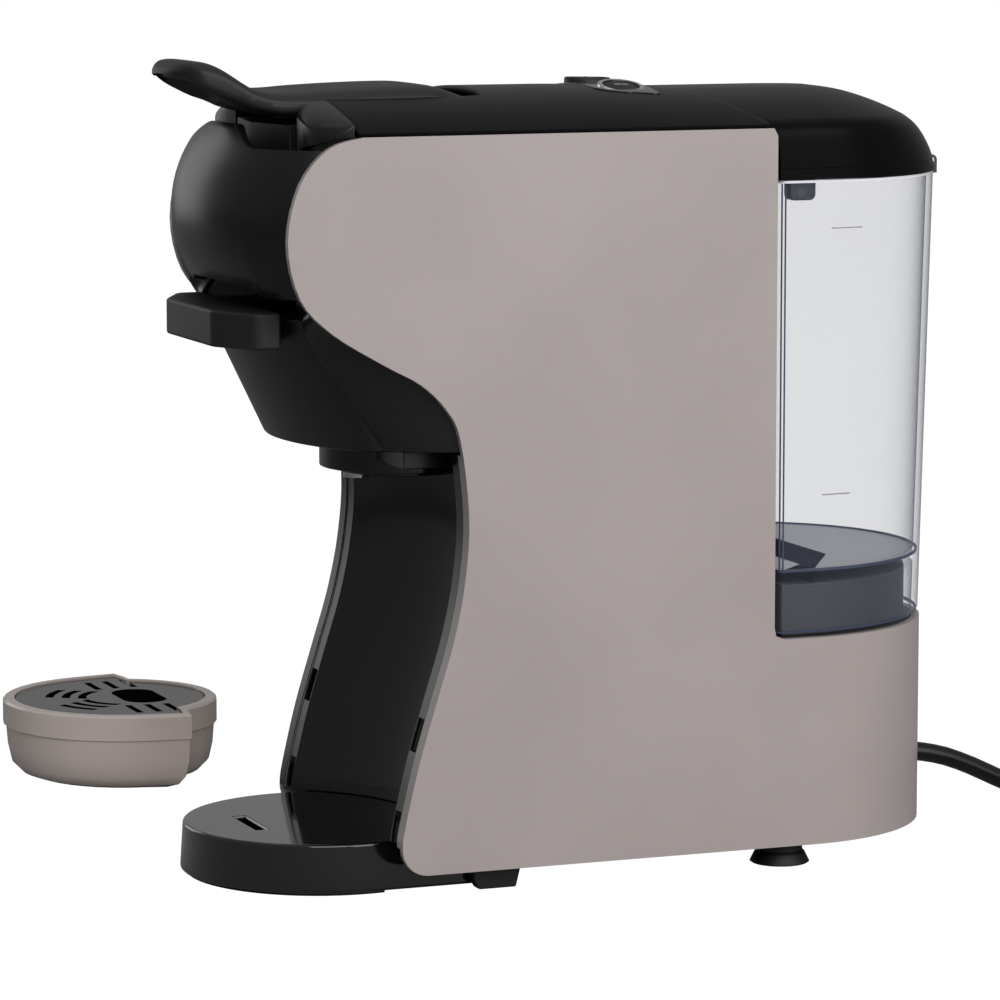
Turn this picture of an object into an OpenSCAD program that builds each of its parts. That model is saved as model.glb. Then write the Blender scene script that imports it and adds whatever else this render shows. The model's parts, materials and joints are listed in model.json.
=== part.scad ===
// Pod coffee machine with a removable pod holder, water tank and drip tray.
// Millimetres. +Z up, front towards -Y, X across. The origin is on the table,
// at the centre of the round front foot.

/* [Body] */
// Width across the two side panels
body_w = 122; // [116:1:130]
// Height of the side panels' top edge
body_top = 246; // [244:1:252]
// Height of the side panels' bottom edge
body_bottom = 8; // [7:0.5:9]
// Thickness of a side panel
panel_t = 2.5; // [2:0.25:3]
// Width of the lip that each panel turns inward along its front edge
lip_w = 5.4; // [4:0.2:5.6]
// Depth of that lip
lip_d = 3; // [2:0.5:4]
// Where the round back of the body is centred, from the origin
back_y = 152; // [148:1:160]
// Gap between neighbouring shells
gap = 0.3; // [0.2:0.05:0.4]

/* [Front curve] */
// How far the nose of the panels reaches in front of the origin
nose_y = 31.6; // [29:0.2:34]
// Height of the nose
nose_z = 213.5; // [211:0.5:216]
// How far the waist lies behind the origin
waist_y = 29.2; // [27:0.2:32]
// Height of the waist
waist_z = 124; // [120:1:128]
// How far the toe of the panels lies behind the origin
toe_y = 7; // [5:0.5:9]

/* [Base] */
// Radius of the round front of the base
base_r = 46; // [44:0.5:48]
// Outward draft of the base at its bottom
base_draft = 1; // [0.4:0.2:1.4]
// Height of the base's top
base_top = 17; // [15:0.5:19]
// Wall of the base
base_wall = 2.5; // [2:0.25:3]
// How far the base reaches back under the body
base_back = 50; // [46:1:54]
// Thickness of the rubber pad under the base
pad_t = 1; // [0.8:0.1:1.4]

/* [Column] */
// Distance between the two rails
rail_gap = 97; // [94:0.5:98]
// Width of a rail
rail_w = 6.6; // [6:0.1:6.8]
// Depth of a rail
rail_d = 6; // [5:0.5:7]
// Radius of the hollow face between the rails
hollow_r = 57; // [54:1:62]
// Wall of the hollow face
hollow_wall = 3; // [2.5:0.25:3.5]
// Height of the underside of the head
head_floor = 144.3; // [142:0.3:147]
// Height of a slot in a rail
slot_h = 10.5; // [9:0.5:12]
// Height of the lower end of the upper slots
slot_z = 47.2; // [44:0.4:50]

/* [Head] */
// Half width of the dome
dome_a = 58; // [56:0.25:58]
// Reach of the dome in front of the origin
dome_b = 45; // [43:0.5:46]
// Half height of the dome
dome_c = 44; // [43:0.5:46]
// Height of the dome's widest level
dome_z = 218; // [216:0.5:220]
// Height of the dome's lower rim
dome_low = 194; // [193.5:0.25:196]
// Height of the dome's top, under the lever
dome_top = 248.2; // [247:0.1:248.4]
// Height of the arched notch in the dome's lower rim
notch_h = 3.8; // [2:0.2:5]
// Half width of that notch
notch_hw = 35; // [30:1:40]
// Wall of the dome
dome_wall = 2.4; // [2:0.2:3]
// Width of the pod holder
holder_w = 94.6; // [92:0.2:95]
// Radius of the outlet collar under the holder
collar_r = 28; // [26:0.5:29]
// How far the outlet collar lies behind the origin
collar_y = 29.5; // [28:0.5:31]
// Height of the collar's lower face
collar_z = 134; // [132:0.5:136]
// How far the pod and the spout lie behind the origin
spout_y = 13; // [11:0.5:15]
// Radius of a pod's seat
pod_r = 16; // [14:0.5:18]
// Width of the grip's front
grip_w = 52; // [48:1:56]
// Width of the grip's back
grip_back_w = 82; // [78:1:85]
// Height of the grip
grip_h = 10.4; // [9:0.2:11]
// Height of the grip's lower face
grip_z = 179.3; // [178.5:0.1:180]

/* [Lever] */
// How far the lever's axis lies behind the origin
lever_y = 41.2; // [40:0.2:42]
// How far the lever's axis lies below the deck's crown
lever_down = 6.8; // [6.4:0.1:7.4]
// Radius of the lever's rear barrel
barrel_r = 6.4; // [6:0.1:6.6]
// Radius of the lever's pin
pin_r = 2; // [1.5:0.1:2.2]
// Running clearance round every pin
pin_fit = 0.08; // [0.05:0.01:0.1]
// Half width of the lever over the deck
lever_hw = 30; // [28:0.5:31]
// Reach of the lever in front of the origin
lever_reach = 56; // [52:0.5:58]

/* [Deck] */
// Height of the deck's crown over the top edge of the side panels
crown_h = 11.4; // [10.5:0.1:12]
// Wall of the deck and the lid
deck_wall = 2.4; // [2:0.2:3]
// Distance of a button from the middle
button_x = 14.5; // [13:0.5:16]
// How far the buttons lie behind the origin
button_y = 101; // [98:0.5:104]
// Radius of a button
button_r = 6.2; // [5.5:0.1:6.5]
// Height of a button over the deck's crown
button_up = 1.6; // [1.2:0.1:2]

/* [Tank] */
// How far the tank's front wall lies behind the origin
tank_y = 138; // [136:0.5:140]
// How far the tank's sides lie inside the side panels' faces
tank_in = 0.6; // [0.4:0.1:3]
// How much further back the tank's top reaches than its bottom
tank_lean = 4; // [2:0.5:5]
// Wall of the tank
tank_wall = 2.2; // [1.8:0.2:2.6]
// Height of the tank's lower rim
tank_low = 79.4; // [79:0.2:81]
// Height of the underside of the tank's floor
tank_floor = 95.3; // [94.5:0.1:97]
// Thickness of that floor
floor_t = 4.4; // [3:0.2:5]
// Height of the lid's lower rim
lid_low = 229; // [228:0.5:231]
// Height of the shelf that the tank stands on
shelf_z = 77.6; // [77:0.2:78.2]
// Radius of the tank's valve
valve_r = 8; // [7:0.5:9]

/* [Drip tray] */
// Radius of the tray's round front
tray_r = 46; // [44:0.5:48]
// Height of the tray
tray_h = 28; // [24:0.5:32]
// Wall of the tray's rim
tray_wall = 4.2; // [3.6:0.2:5]
// Thickness of the grid
grid_t = 6.4; // [5.5:0.1:7]
// Clearance round the grid
grid_fit = 0.4; // [0.3:0.05:0.6]
// How far the grid lies below the tray's rim
grid_down = 0.6; // [0.2:0.1:1.2]
// Where the tray stands, to the left of the machine
tray_x = -190; // [-210:1:-160]
// Where the tray stands, along the machine
tray_y = -8; // [-20:1:20]

/* [Feet and cord] */
// Radius of a suction foot
cup_r = 10; // [8:0.5:11]
// How far the suction feet lie behind the origin
cup_y = 146; // [142:1:150]
// Distance of a suction foot from the middle
cup_x = 46.5; // [44:0.5:47]
// Diameter of the mains cord
cord_d = 6.6; // [6:0.1:7.4]
// Height of the cord's exit
cord_z = 25; // [22:0.5:28]

/* [Hidden] */
half_w = body_w / 2;
inner_w = half_w - panel_t;
crown_z = body_top + crown_h;
lever_z = crown_z - lever_down;
tank_r = half_w - tank_in;
web_x = 55.2;
web_t = 2.6;
back_wall_y = 134;
back_wall_t = 2.6;
plate_t = 2.5;
plate_z = body_bottom + 0.4;
deck_low = body_top + gap;
deck_side = 0.7;
deck_sag = crown_z - deck_low - deck_side;
deck_arc = (half_w * half_w + deck_sag * deck_sag) / (2 * deck_sag);
rail_in = rail_gap / 2;
hollow_edge = sqrt(hollow_r * hollow_r - rail_in * rail_in);
bed_z = lever_z - barrel_r - 0.4;
seam_low = 139.2;
seam_top = 114;
tank_back = back_y + tank_lean + tank_r;
hinge_y = tank_back + 2.2;
hinge_z = lid_low + 1.8;
hinge_r = 0.9;
knuckle_r = 1.9;
tab_hw = 9;
knuckle_hw = 3.4;
holder_top = dome_low - 1;
pedestal_r = 55.6;
pedestal_top = tank_floor - 0.3;
socket_fit = 0.25;
feed_x = -20;
feed_y = 163;
pump_r = 17;
pump_z = 40;
boiler_z = 150;
pump_y = 92;
bed_t = 3.2;
bed_back = 52;
bed_front = -8;
press_travel = 8;
rod_top = bed_z - bed_t - press_travel - gap;
dome_back = 14;
press_r = 20;
press_z = holder_top + 0.8;
rod_r = 8.6;
lug_w = 3.6;
lug_top = lever_z + pin_r + 0.2;

// A smooth curve through points, with n steps for each span
function spline_at(p, i, t) = let(
    a = p[max(i - 1, 0)], b = p[i], c = p[i + 1], d = p[min(i + 2, len(p) - 1)])
    0.5 * (2 * b + (c - a) * t + (2 * a - 5 * b + 4 * c - d) * t * t
        + (3 * b - a - 3 * c + d) * t * t * t);
function spline(p, n) = [
    for (i = [0 : len(p) - 2]) for (k = [0 : n - 1]) spline_at(p, i, k / n),
    p[len(p) - 1]];
function arc(c, r, a0, a1, n) = [for (k = [0 : n]) let(a = a0 + (a1 - a0) * k / n)
    [c[0] + r * cos(a), c[1] + r * sin(a)]];
function total(v) = [for (i = v) 1] * v;
function reversed(p) = [for (k = [len(p) - 1 : -1 : 0]) p[k]];
function power(v, n) = sign(v) * pow(abs(v), n);

// The front edge of the side panels, as [y, z] from the top to the toe
front_points = [
    [nose_y * -0.2, body_top], [-nose_y + 13.6, body_top - 3.5], [-nose_y + 4.2, nose_z + 18],
    [-nose_y, nose_z], [-nose_y + 4, nose_z - 18], [-nose_y + 15, nose_z - 29.5],
    [-nose_y + 32.4, nose_z - 40], [waist_y - 16.4, waist_z + 43], [waist_y - 8, waist_z + 35],
    [waist_y - 3, waist_z + 25], [waist_y, waist_z], [waist_y - 1.3, waist_z - 20.5],
    [waist_y - 5.2, waist_z - 40], [waist_y - 11, waist_z - 59], [toe_y + 5, 44.5],
    [toe_y, 23.5], [toe_y - 0.8, 17]];
front_curve = spline(front_points, 4);
toe_r = 9;
toe_arc = arc([toe_y - 0.8 + toe_r, body_bottom + toe_r], toe_r, 180, 270, 8);
// The same edge as a table of y against z, for what follows it below the head
column_table = [for (k = [len(front_curve) - 1 : -1 : 0]) if (front_curve[k][1] < waist_z + 36)
    [front_curve[k][1], front_curve[k][0]]];
function front_at(z) = lookup(z, column_table);
panel_table = [for (p = reversed(front_curve)) if (p[1] < nose_z) [p[1], p[0]]];
function panel_at(z) = lookup(z, panel_table);
function hollow_at(x, z) = front_at(z) + sqrt(hollow_r * hollow_r - x * x) - hollow_edge;

// A solid through rings of the same number of points, whichever way round they run; a folded
// ring goes out along one side of a wall and back along the other
module loft(rings, folded = false) {
    n = len(rings[0]);
    m = len(rings);
    points = [for (r = rings) each r];
    sides = [for (i = [0 : m - 2], j = [0 : n - 1]) let(k = (j + 1) % n, a = i * n, b = a + n)
        each [[a + j, a + k, b + k], [a + j, b + k, b + j]]];
    low = !folded ? [[for (j = [n - 1 : -1 : 0]) j]]
        : [for (j = [0 : n / 2 - 2]) each [[j + 1, j, n - 1 - j], [j + 1, n - 1 - j, n - 2 - j]]];
    faces = concat(sides, low, [for (f = low) [for (k = reversed(f)) (m - 1) * n + k]]);
    volume = total([for (f = faces, k = [1 : len(f) - 2])
        points[f[0]] * cross(points[f[k]], points[f[k + 1]])]);
    polyhedron(points = points, faces = volume < 0 ? faces
        : [for (f = faces) reversed(f)]);
}
// A [y, z] outline drawn across the machine from x0 to x1
module across(x0, x1) {
    translate([x0, 0, 0]) rotate([90, 0, 90]) linear_extrude(x1 - x0) children();
}
module both_sides() {
    children();
    mirror([1, 0, 0]) children();
}
// The plan of the body's round back, with a flat front at y0
module back_plan(r, y0, hw) {
    translate([0, back_y]) circle(r = r, $fn = 96);
    translate([-hw, y0]) square([2 * hw, back_y - y0]);
}

// ---- Side panels ----
module panel_outline() {
    polygon(concat(front_curve, toe_arc,
        [[back_y + half_w + 5, body_bottom], [back_y + half_w + 5, shelf_z], [tank_y + 3, shelf_z],
        [tank_y - 0.4, shelf_z + 1.2], [tank_y - 1, shelf_z + 4]],
        [for (z = [lid_low, lid_low + 11, lid_low + 14.5, body_top])
            [min(tank_y - 1, lookup(z, seam_table) - gap), z]]));
}
module lip_outline() {
    difference() {
        polygon(concat(front_curve, [[front_points[16][0], body_bottom + toe_r],
            [front_points[16][0] + lip_d, body_bottom + toe_r]],
            [for (k = [len(front_curve) - 1 : -1 : 6]) front_curve[k] + [lip_d, 0]],
            [[front_points[0][0] + 1, body_top - lip_d], [front_points[0][0] + 1, body_top]]));
        translate([-50, head_floor - 1]) square([200, 120]);
    }
}
module side_panel(side) {
    color([0.64, 0.6, 0.59]) scale_x(side) {
        intersection() {
            difference() {
                linear_extrude(body_top) back_plan(half_w, -60, half_w);
                translate([0, 0, -1]) linear_extrude(body_top + 2) back_plan(inner_w, -61, inner_w);
                translate([-half_w - 1, -80, -1])
                    cube([half_w + 1 + gap / 2, 400, body_top + 2]);
                cord_hole(cord_d + 3.4);
            }
            across(-1, half_w + 1) panel_outline();
        }
        across(half_w - lip_w, inner_w + 0.2) lip_outline();
    }
}
module scale_x(side) {
    if (side > 0) children();
    else mirror([1, 0, 0]) children();
}
module cord_hole(d) {
    translate([0, back_y + half_w + 6, cord_z]) rotate([90, 0, 0]) cylinder(d = d, h = 14, $fn = 48);
}

// ---- Base, column and frame ----
module base_solid(r, top, y_back) {
    h = top - pad_t;
    translate([0, 0, pad_t]) cylinder(r1 = r + base_draft, r2 = r, h = h, $fn = 96);
    translate([0, y_back, 0]) rotate([90, 0, 0]) linear_extrude(y_back)
        polygon([[-r - base_draft, pad_t], [r + base_draft, pad_t], [r, top], [-r, top]]);
}
module base() {
    color([0.07, 0.07, 0.08]) difference() {
        base_solid(base_r, base_top, base_back);
        translate([0, 0, -base_wall]) base_solid(base_r - base_wall, base_top, base_back - base_wall);
        translate([-12, -26.5, 0]) cube([24, 3.5, base_top + 1]);
    }
}
module base_pad() {
    color([0.1, 0.1, 0.1]) {
        difference() {
            cylinder(r = base_r - 1, h = pad_t, $fn = 96);
            translate([0, 0, -1]) cylinder(r = base_r - 7, h = pad_t + 2, $fn = 96);
            translate([-60, 6, -1]) cube([120, 80, 5]);
        }
        cylinder(r = 9, h = pad_t, $fn = 48);
        translate([-2.5, -base_r + 3, 0]) cube([5, base_r - 6, pad_t]);
    }
}
module column() {
    zs = [for (k = [0 : 9]) base_top + gap + (head_floor - 2 * gap - base_top) * k / 9];
    edge = asin((rail_in - gap) / hollow_r);
    xs = [for (k = [-6 : 6]) hollow_r * sin(edge * k / 6)];
    color([0.08, 0.08, 0.09]) loft([for (z = zs) concat(
        [for (x = xs) [x, hollow_at(x, z), z]],
        [for (x = reversed(xs)) [x, hollow_at(x, z) + hollow_wall, z]])], folded = true);
}
module rail(side) {
    upper = [for (p = front_curve) if (p[1] < head_floor - 1 && p[1] > base_top) p + [gap, 0]];
    n = len(upper);
    z0 = base_top + gap;
    z1 = head_floor - 1;
    color([0.13, 0.13, 0.14]) scale_x(side) difference() {
        across(rail_in, rail_in + rail_w) polygon(concat(
            [[front_at(z1) + gap, z1]], upper, [[front_at(z0) + gap, z0]],
            [[front_at(z0) + rail_d, z0]], [for (k = [n - 1 : -1 : 0]) upper[k] + [rail_d, 0]],
            [[front_at(z1) + rail_d, z1]]));
        for (z = [slot_z, base_top + 0.2])
            across(rail_in + 0.9, rail_in + rail_w - 0.9) polygon([
                [front_at(z) - 5, z], [front_at(z + slot_h) - 5, z + slot_h],
                [front_at(z + slot_h) + rail_d - 1.6, z + slot_h], [front_at(z) + rail_d - 1.6, z]]);
    }
}
module web_outline() {
    lower = [for (p = front_curve) if (p[1] < head_floor && p[1] > base_top) p + [rail_d + 1.5, 0]];
    polygon(concat([[dome_back + 2, body_top - 2], [dome_back + 2, dome_low], [34, head_floor + 6]],
        lower, [[toe_y + rail_d + 3, plate_z + plate_t], [back_wall_y, plate_z + plate_t],
        [back_wall_y, body_top - 2]]));
}
module frame() {
    color([0.15, 0.15, 0.16]) {
        both_sides() {
            across(web_x, web_x + web_t) web_outline();
            translate([web_x + web_t - 0.5, back_wall_y - 8, plate_z + plate_t])
                cube([inner_w - web_x - web_t + 0.5 - gap, 8.5, shelf_z - plate_z - plate_t - 4]);
        }
        difference() {
            translate([-inner_w + gap, back_wall_y, plate_z + plate_t])
                cube([2 * (inner_w - gap), back_wall_t, deck_low - 4 - plate_z - plate_t]);
            translate([-14, back_wall_y - 1, plate_z + 16]) cube([28, back_wall_t + 2, 28]);
        }
        translate([-web_x - 0.5, bed_back, bed_z - bed_t]) cube([2 * web_x + 1, 6, bed_t]);
        translate([-web_x - 0.5, 58, boiler_z - 6]) cube([2 * web_x + 1, 40, 3]);
    }
}
module shelf() {
    color([0.12, 0.12, 0.13]) {
        intersection() {
            translate([0, 0, shelf_z - 2.5]) linear_extrude(2.5) back_plan(inner_w - gap, 0, inner_w - gap);
            translate([-100, back_wall_y + back_wall_t + gap, 0]) cube([200, 200, 300]);
        }
        both_sides() translate([48, back_y + 8, plate_z + plate_t])
            cylinder(r = 3.5, h = shelf_z - 2.5 - plate_z - plate_t, $fn = 32);
    }
}
module pedestal() {
    color([0.24, 0.24, 0.25]) difference() {
        intersection() {
            translate([0, 0, shelf_z]) linear_extrude(pedestal_top - shelf_z)
                back_plan(pedestal_r, 0, pedestal_r);
            translate([-100, tank_y + tank_wall + 1.6, 0]) cube([200, 200, 300]);
        }
        translate([feed_x, feed_y, shelf_z + 3]) cylinder(r = valve_r + socket_fit, h = 40, $fn = 64);
    }
}
module bottom_plate() {
    color([0.1, 0.1, 0.1]) difference() {
        intersection() {
            translate([0, 0, plate_z]) linear_extrude(plate_t) back_plan(inner_w - gap, -60, inner_w - gap);
            translate([-100, base_back + gap, 0]) cube([200, 300, 60]);
        }
        for (y = [80 : 8 : 120]) translate([-24, y, 0]) cube([48, 3, 30]);
        both_sides() translate([cup_x, cup_y, 0]) cylinder(r = 4 + gap, h = 30, $fn = 48);
    }
}
module front_foot(side) {
    color([0.06, 0.06, 0.06]) scale_x(side) {
        across(base_r + base_draft + gap, base_r + base_draft + gap + 5)
            translate([base_back, 0]) polygon([[-16, 3], [-14, 0], [-1, 0], [1, plate_z - gap],
                [-16, plate_z - gap]]);
    }
}
module suction_foot(side) {
    color([0.05, 0.05, 0.05]) scale_x(side) translate([cup_x, cup_y, 0]) rotate_extrude($fn = 64)
        polygon([[0, 2.2], [cup_r - 3, 1.2], [cup_r - 0.6, 0], [cup_r, 0.4], [cup_r - 1.6, 3.6],
            [7.6, 4.4], [7.6, plate_z - gap], [4, plate_z - gap], [4, plate_z + plate_t + 1],
            [0, plate_z + plate_t + 1]]);
}

// ---- Head ----
function dome_side(z) = min(1, 1 - (z - 238) * 0.022);
function dome_ring(z, inset) = let(
    s = sqrt(max(1 - pow((z - dome_z) / dome_c, 2), 0.02)),
    a = dome_a * pow(s, 0.35) * dome_side(z) - inset, b = dome_b * s - inset,
    r = [for (k = [0 : 16]) let(t = 180 + 180 * k / 16) [a * power(cos(t), 0.84), b * power(sin(t), 0.84)]])
    concat([[-a, dome_back]], r, [[a, dome_back]]);
function notch_at(x) = notch_h * sqrt(max(0, 1 - pow(x / notch_hw, 4)));
function dome_level(f, inset) =
    [for (p = dome_ring(dome_low + (dome_top - dome_low) * f, inset))
        let(z0 = dome_low + (p[1] < -5 ? notch_at(p[0]) : 0)) [p[0], p[1], z0 + (dome_top - z0) * f]];
module dome() {
    outer = [for (k = [0 : 12]) dome_level(k / 12, 0)];
    inner = [for (k = [8 : -1 : 0]) dome_level(k / 8, dome_wall)];
    walls = concat(outer, inner);
    color([0.1, 0.1, 0.11]) loft([for (j = [0 : len(outer[0]) - 1]) [for (w = walls) w[j]]]);
}
module dome_roof() {
    color([0.1, 0.1, 0.11]) translate([0, 0, bed_z + gap]) linear_extrude(dome_top - bed_z - gap)
        polygon(dome_ring(dome_top, dome_wall + gap));
}
// The black cheek between the pod holder and the side panel
cheek_table = [[head_floor, 5.6], [148.5, 2.5], [156.5, -3], [167, -11], [178.5, -19.5], [190, -27],
    [193, -28]];
function cheek_ring(z) = let(y0 = lookup(z, cheek_table), y1 = panel_at(z) + 1, x0 = holder_w / 2 + gap,
    x1 = inner_w - gap, w = x1 - x0, d = y1 - y0)
    [[x0, y0, z], [x0 + w * 0.35, y0 + d * 0.2, z], [x0 + w * 0.7, y0 + d * 0.52, z], [x1, y1, z],
        [x1, y1 + 6.5, z], [x0, y1 + 6.5, z]];
module cheek(side) {
    top = dome_low - gap;
    color([0.09, 0.09, 0.1]) scale_x(side) loft([for (k = [0 : 8]) cheek_ring(head_floor
        + (top - head_floor) * k / 8)]);
}
module shoulder(side) {
    r = 8;
    front = -22.4;
    low = crown_z - 16;
    rear = bed_front;
    plan = spline([[lever_hw + 0.8, front + 4.9], [38, front + 1.8], [45, front], [51, front + 0.8],
        [55.4, front + 4.8], [inner_w - gap, rear - 2]], 3);
    color([0.08, 0.08, 0.09]) scale_x(side) difference() {
        intersection() {
            across(lever_hw + 0.8, inner_w - gap) polygon(concat([[rear, low], [rear, crown_z - 6.4],
                [rear - 4, crown_z]],
                arc([front + r, crown_z - r], r, 90, 180, 8), [[front, low]]));
            translate([0, 100, 0]) rotate([90, 0, 0]) linear_extrude(200) arch(0, half_w, low - 5);
            translate([0, 0, low]) linear_extrude(crown_z - low)
                polygon(concat([[lever_hw + 0.8, rear]], plan, [[inner_w - gap, rear]]));
        }
        translate([0, 0, low - 1]) linear_extrude(dome_top + gap + 1 - low) polygon(dome_ring(low, -gap));
    }
}

// ---- Pod holder ----
function cone_ring(z, inset) = let(
    f = (z - head_floor) / (holder_top - head_floor), e = 1 - 0.1 * f, hw = holder_w / 2 - inset,
    a = 55 + 3 * f - inset, b = 35 + 8.4 * f - inset, cy = 20.5 - 12.2 * f, t0 = acos(pow(hw / a, 1 / e)))
    concat([[-hw, 40 - inset, z]],
        [for (k = [0 : 16]) let(t = 180 + t0 + (180 - 2 * t0) * k / 16)
            [a * power(cos(t), e), cy + b * power(sin(t), e), z]],
        [[hw, 40 - inset, z]]);
module holder_cone() {
    zs = [for (k = [0 : 3]) head_floor + (holder_top - head_floor) * k / 3];
    color([0.11, 0.11, 0.12]) difference() {
        loft([for (z = zs) cone_ring(z, 0)]);
        translate([0, spout_y, 160]) cylinder(r = pod_r + 4, h = 60, $fn = 64);
        translate([0, spout_y, 100]) cylinder(r = 6, h = 120, $fn = 48);
    }
}
module pod_cup() {
    color([0.5, 0.5, 0.52]) translate([0, spout_y, 0]) rotate_extrude($fn = 64)
        polygon([[2.5, 160.3], [pod_r + 3.7, 160.3], [pod_r + 3.7, holder_top - 0.4],
            [pod_r, holder_top - 0.4], [pod_r - 3, 163], [2.5, 163]]);
}
module grip() {
    hw0 = grip_w / 2;
    hw1 = grip_back_w / 2;
    front = -dome_b - 1.5;
    color([0.13, 0.13, 0.15]) difference() {
        translate([0, 0, grip_z]) linear_extrude(grip_h) polygon(concat(
            arc([-hw0 + 4, front + 6], 6, 225, 270, 4), arc([hw0 - 4, front + 6], 6, 270, 315, 4),
            [[hw1 - 1.4, -37.2], [hw1, -35.4], [hw1, -10], [-hw1, -10], [-hw1, -35.4],
            [-hw1 + 1.4, -37.2]]));
        loft([for (z = [grip_z - 2, grip_z + grip_h + 2]) cone_ring(z, -gap)]);
    }
}
module collar() {
    color([0.05, 0.05, 0.06]) difference() {
        union() {
            translate([0, collar_y, collar_z]) cylinder(r = collar_r, h = head_floor - collar_z, $fn = 96);
            translate([0, collar_y, collar_z - 1.4])
                cylinder(r = collar_r - 5.5, h = 2, $fn = 96);
        }
        translate([-60, 46, 100]) cube([120, 60, 60]);
        translate([0, spout_y, 100]) cylinder(r = 5, h = 60, $fn = 48);
        translate([0, collar_y, collar_z + 2]) difference() {
            cylinder(r = collar_r - 2.4, h = 20, $fn = 96);
            translate([0, spout_y - collar_y, -1]) cylinder(r = 7.4, h = 30, $fn = 48);
            translate([-60, 44 - collar_y, -1]) cube([120, 60, 60]);
        }
    }
}
module spout() {
    color([0.3, 0.3, 0.31]) translate([0, spout_y, 0]) rotate_extrude($fn = 48)
        polygon([[2.5, collar_z - 3.4], [4.6, collar_z - 3.4], [4.7, head_floor + 2.2],
            [5.7, head_floor + 2.2],
            [5.7, 160], [2.5, 160]]);
}
module press() {
    color([0.55, 0.55, 0.57]) translate([0, spout_y, 0]) {
        translate([0, 0, press_z]) cylinder(r = press_r, h = 8, $fn = 64);
        translate([0, 0, press_z + 7]) cylinder(r = rod_r, h = rod_top - press_z - 7, $fn = 48);
    }
}
module press_guide() {
    z0 = press_z + 18;
    color([0.14, 0.14, 0.15]) difference() {
        union() {
            translate([0, spout_y, z0]) cylinder(r = 13, h = 14, $fn = 48);
            translate([-13, spout_y, z0]) cube([26, 24, 14]);
            translate([-web_x + gap, spout_y + 18, z0]) cube([2 * (web_x - gap), 6, 14]);
        }
        translate([0, spout_y, z0 - 1]) cylinder(r = rod_r + pin_fit, h = 20, $fn = 48);
    }
}

// ---- Lever ----
// Along y: half width, underside and top against the crown, and depth of the hollow under the tip
lever_stations = [for (s = [
    [-lever_reach, 5, 6.2, 8.4, 0.3], [-lever_reach + 1.6, 11, 5.4, 10.2, 1.6],
    [-lever_reach + 5, 15, 4.4, 11.3, 3.6], [-lever_reach + 9, 18, 2.9, 11.5, 5],
    [-lever_reach + 14, 20, 0.2, 10.7, 5], [-lever_reach + 20, 22, -2.4, 8.1, 4],
    [-29.5, 24, -4.7, 4.9, 2], [-22, 26, -6.6, 2.8, 0.5], [-14, 28, -7.2, 1.2, 0.3],
    [-4, lever_hw - 0.8, -7.9, 0.3, 0.3], [10, lever_hw, -8.4, barrel_r - lever_down, 0.3],
    [lever_y - 0.5, lever_hw, -8.4, barrel_r - lever_down, 0.3]])
    s + [0, 0, crown_z, crown_z, 0]];
function lever_ring(s) = let(hw = s[1], z0 = s[2], z1 = s[3], r = min(hw * 0.3, (z1 - z0 - 0.8) / 2.2, 3.4),
    g = hw - r - 0.6)
    [for (p = concat(arc([hw - r, z0 + r], r, -90, 0, 3), arc([hw - r, z1 - 0.8 - r], r, 0, 70, 3),
        [[hw * 0.5, z1 - 0.2], [0, z1], [-hw * 0.5, z1 - 0.2]],
        arc([-hw + r, z1 - 0.8 - r], r, 110, 180, 3), arc([-hw + r, z0 + r], r, 180, 270, 3),
        [[-g, z0 - 0.1], [-g + 0.6, z0 + s[4]], [g - 0.6, z0 + s[4]], [g, z0 - 0.1]]))
        [p[0], s[0], p[1]]];
module lever() {
    color([0.12, 0.12, 0.13]) difference() {
        union() {
            loft([for (s = lever_stations) lever_ring(s)]);
            translate([-lever_hw, lever_y, lever_z]) rotate([0, 90, 0])
                cylinder(r = barrel_r, h = 2 * lever_hw, $fn = 64);
        }
        translate([-lever_hw - 1, lever_y, lever_z]) rotate([0, 90, 0])
            cylinder(r = pin_r + pin_fit, h = 2 * lever_hw + 2, $fn = 48);
    }
}
lug_out = lever_hw + 0.6 + lug_w;
module lever_pin() {
    color([0.6, 0.6, 0.62]) translate([-lug_out, lever_y, lever_z]) rotate([0, 90, 0])
        cylinder(r = pin_r, h = 2 * lug_out, $fn = 48);
}
module lever_bed() {
    color([0.08, 0.08, 0.09]) difference() {
        union() {
            translate([-lug_out, bed_front, bed_z - bed_t])
                cube([2 * lug_out, bed_back - bed_front, bed_t]);
            both_sides() translate([lever_hw + 0.6, lever_y - 6, bed_z - 1])
                cube([lug_w, 12, lug_top - bed_z + 1]);
        }
        translate([-lug_out - 1, lever_y, lever_z]) rotate([0, 90, 0])
            cylinder(r = pin_r, h = 2 * lug_out + 2, $fn = 48);
    }
}

// ---- Deck ----
module arch(r, hw, z0) {
    intersection() {
        translate([0, crown_z - deck_arc]) circle(r = deck_arc - r, $fn = 360);
        translate([-hw, z0]) square([2 * hw, 60]);
    }
}
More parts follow.
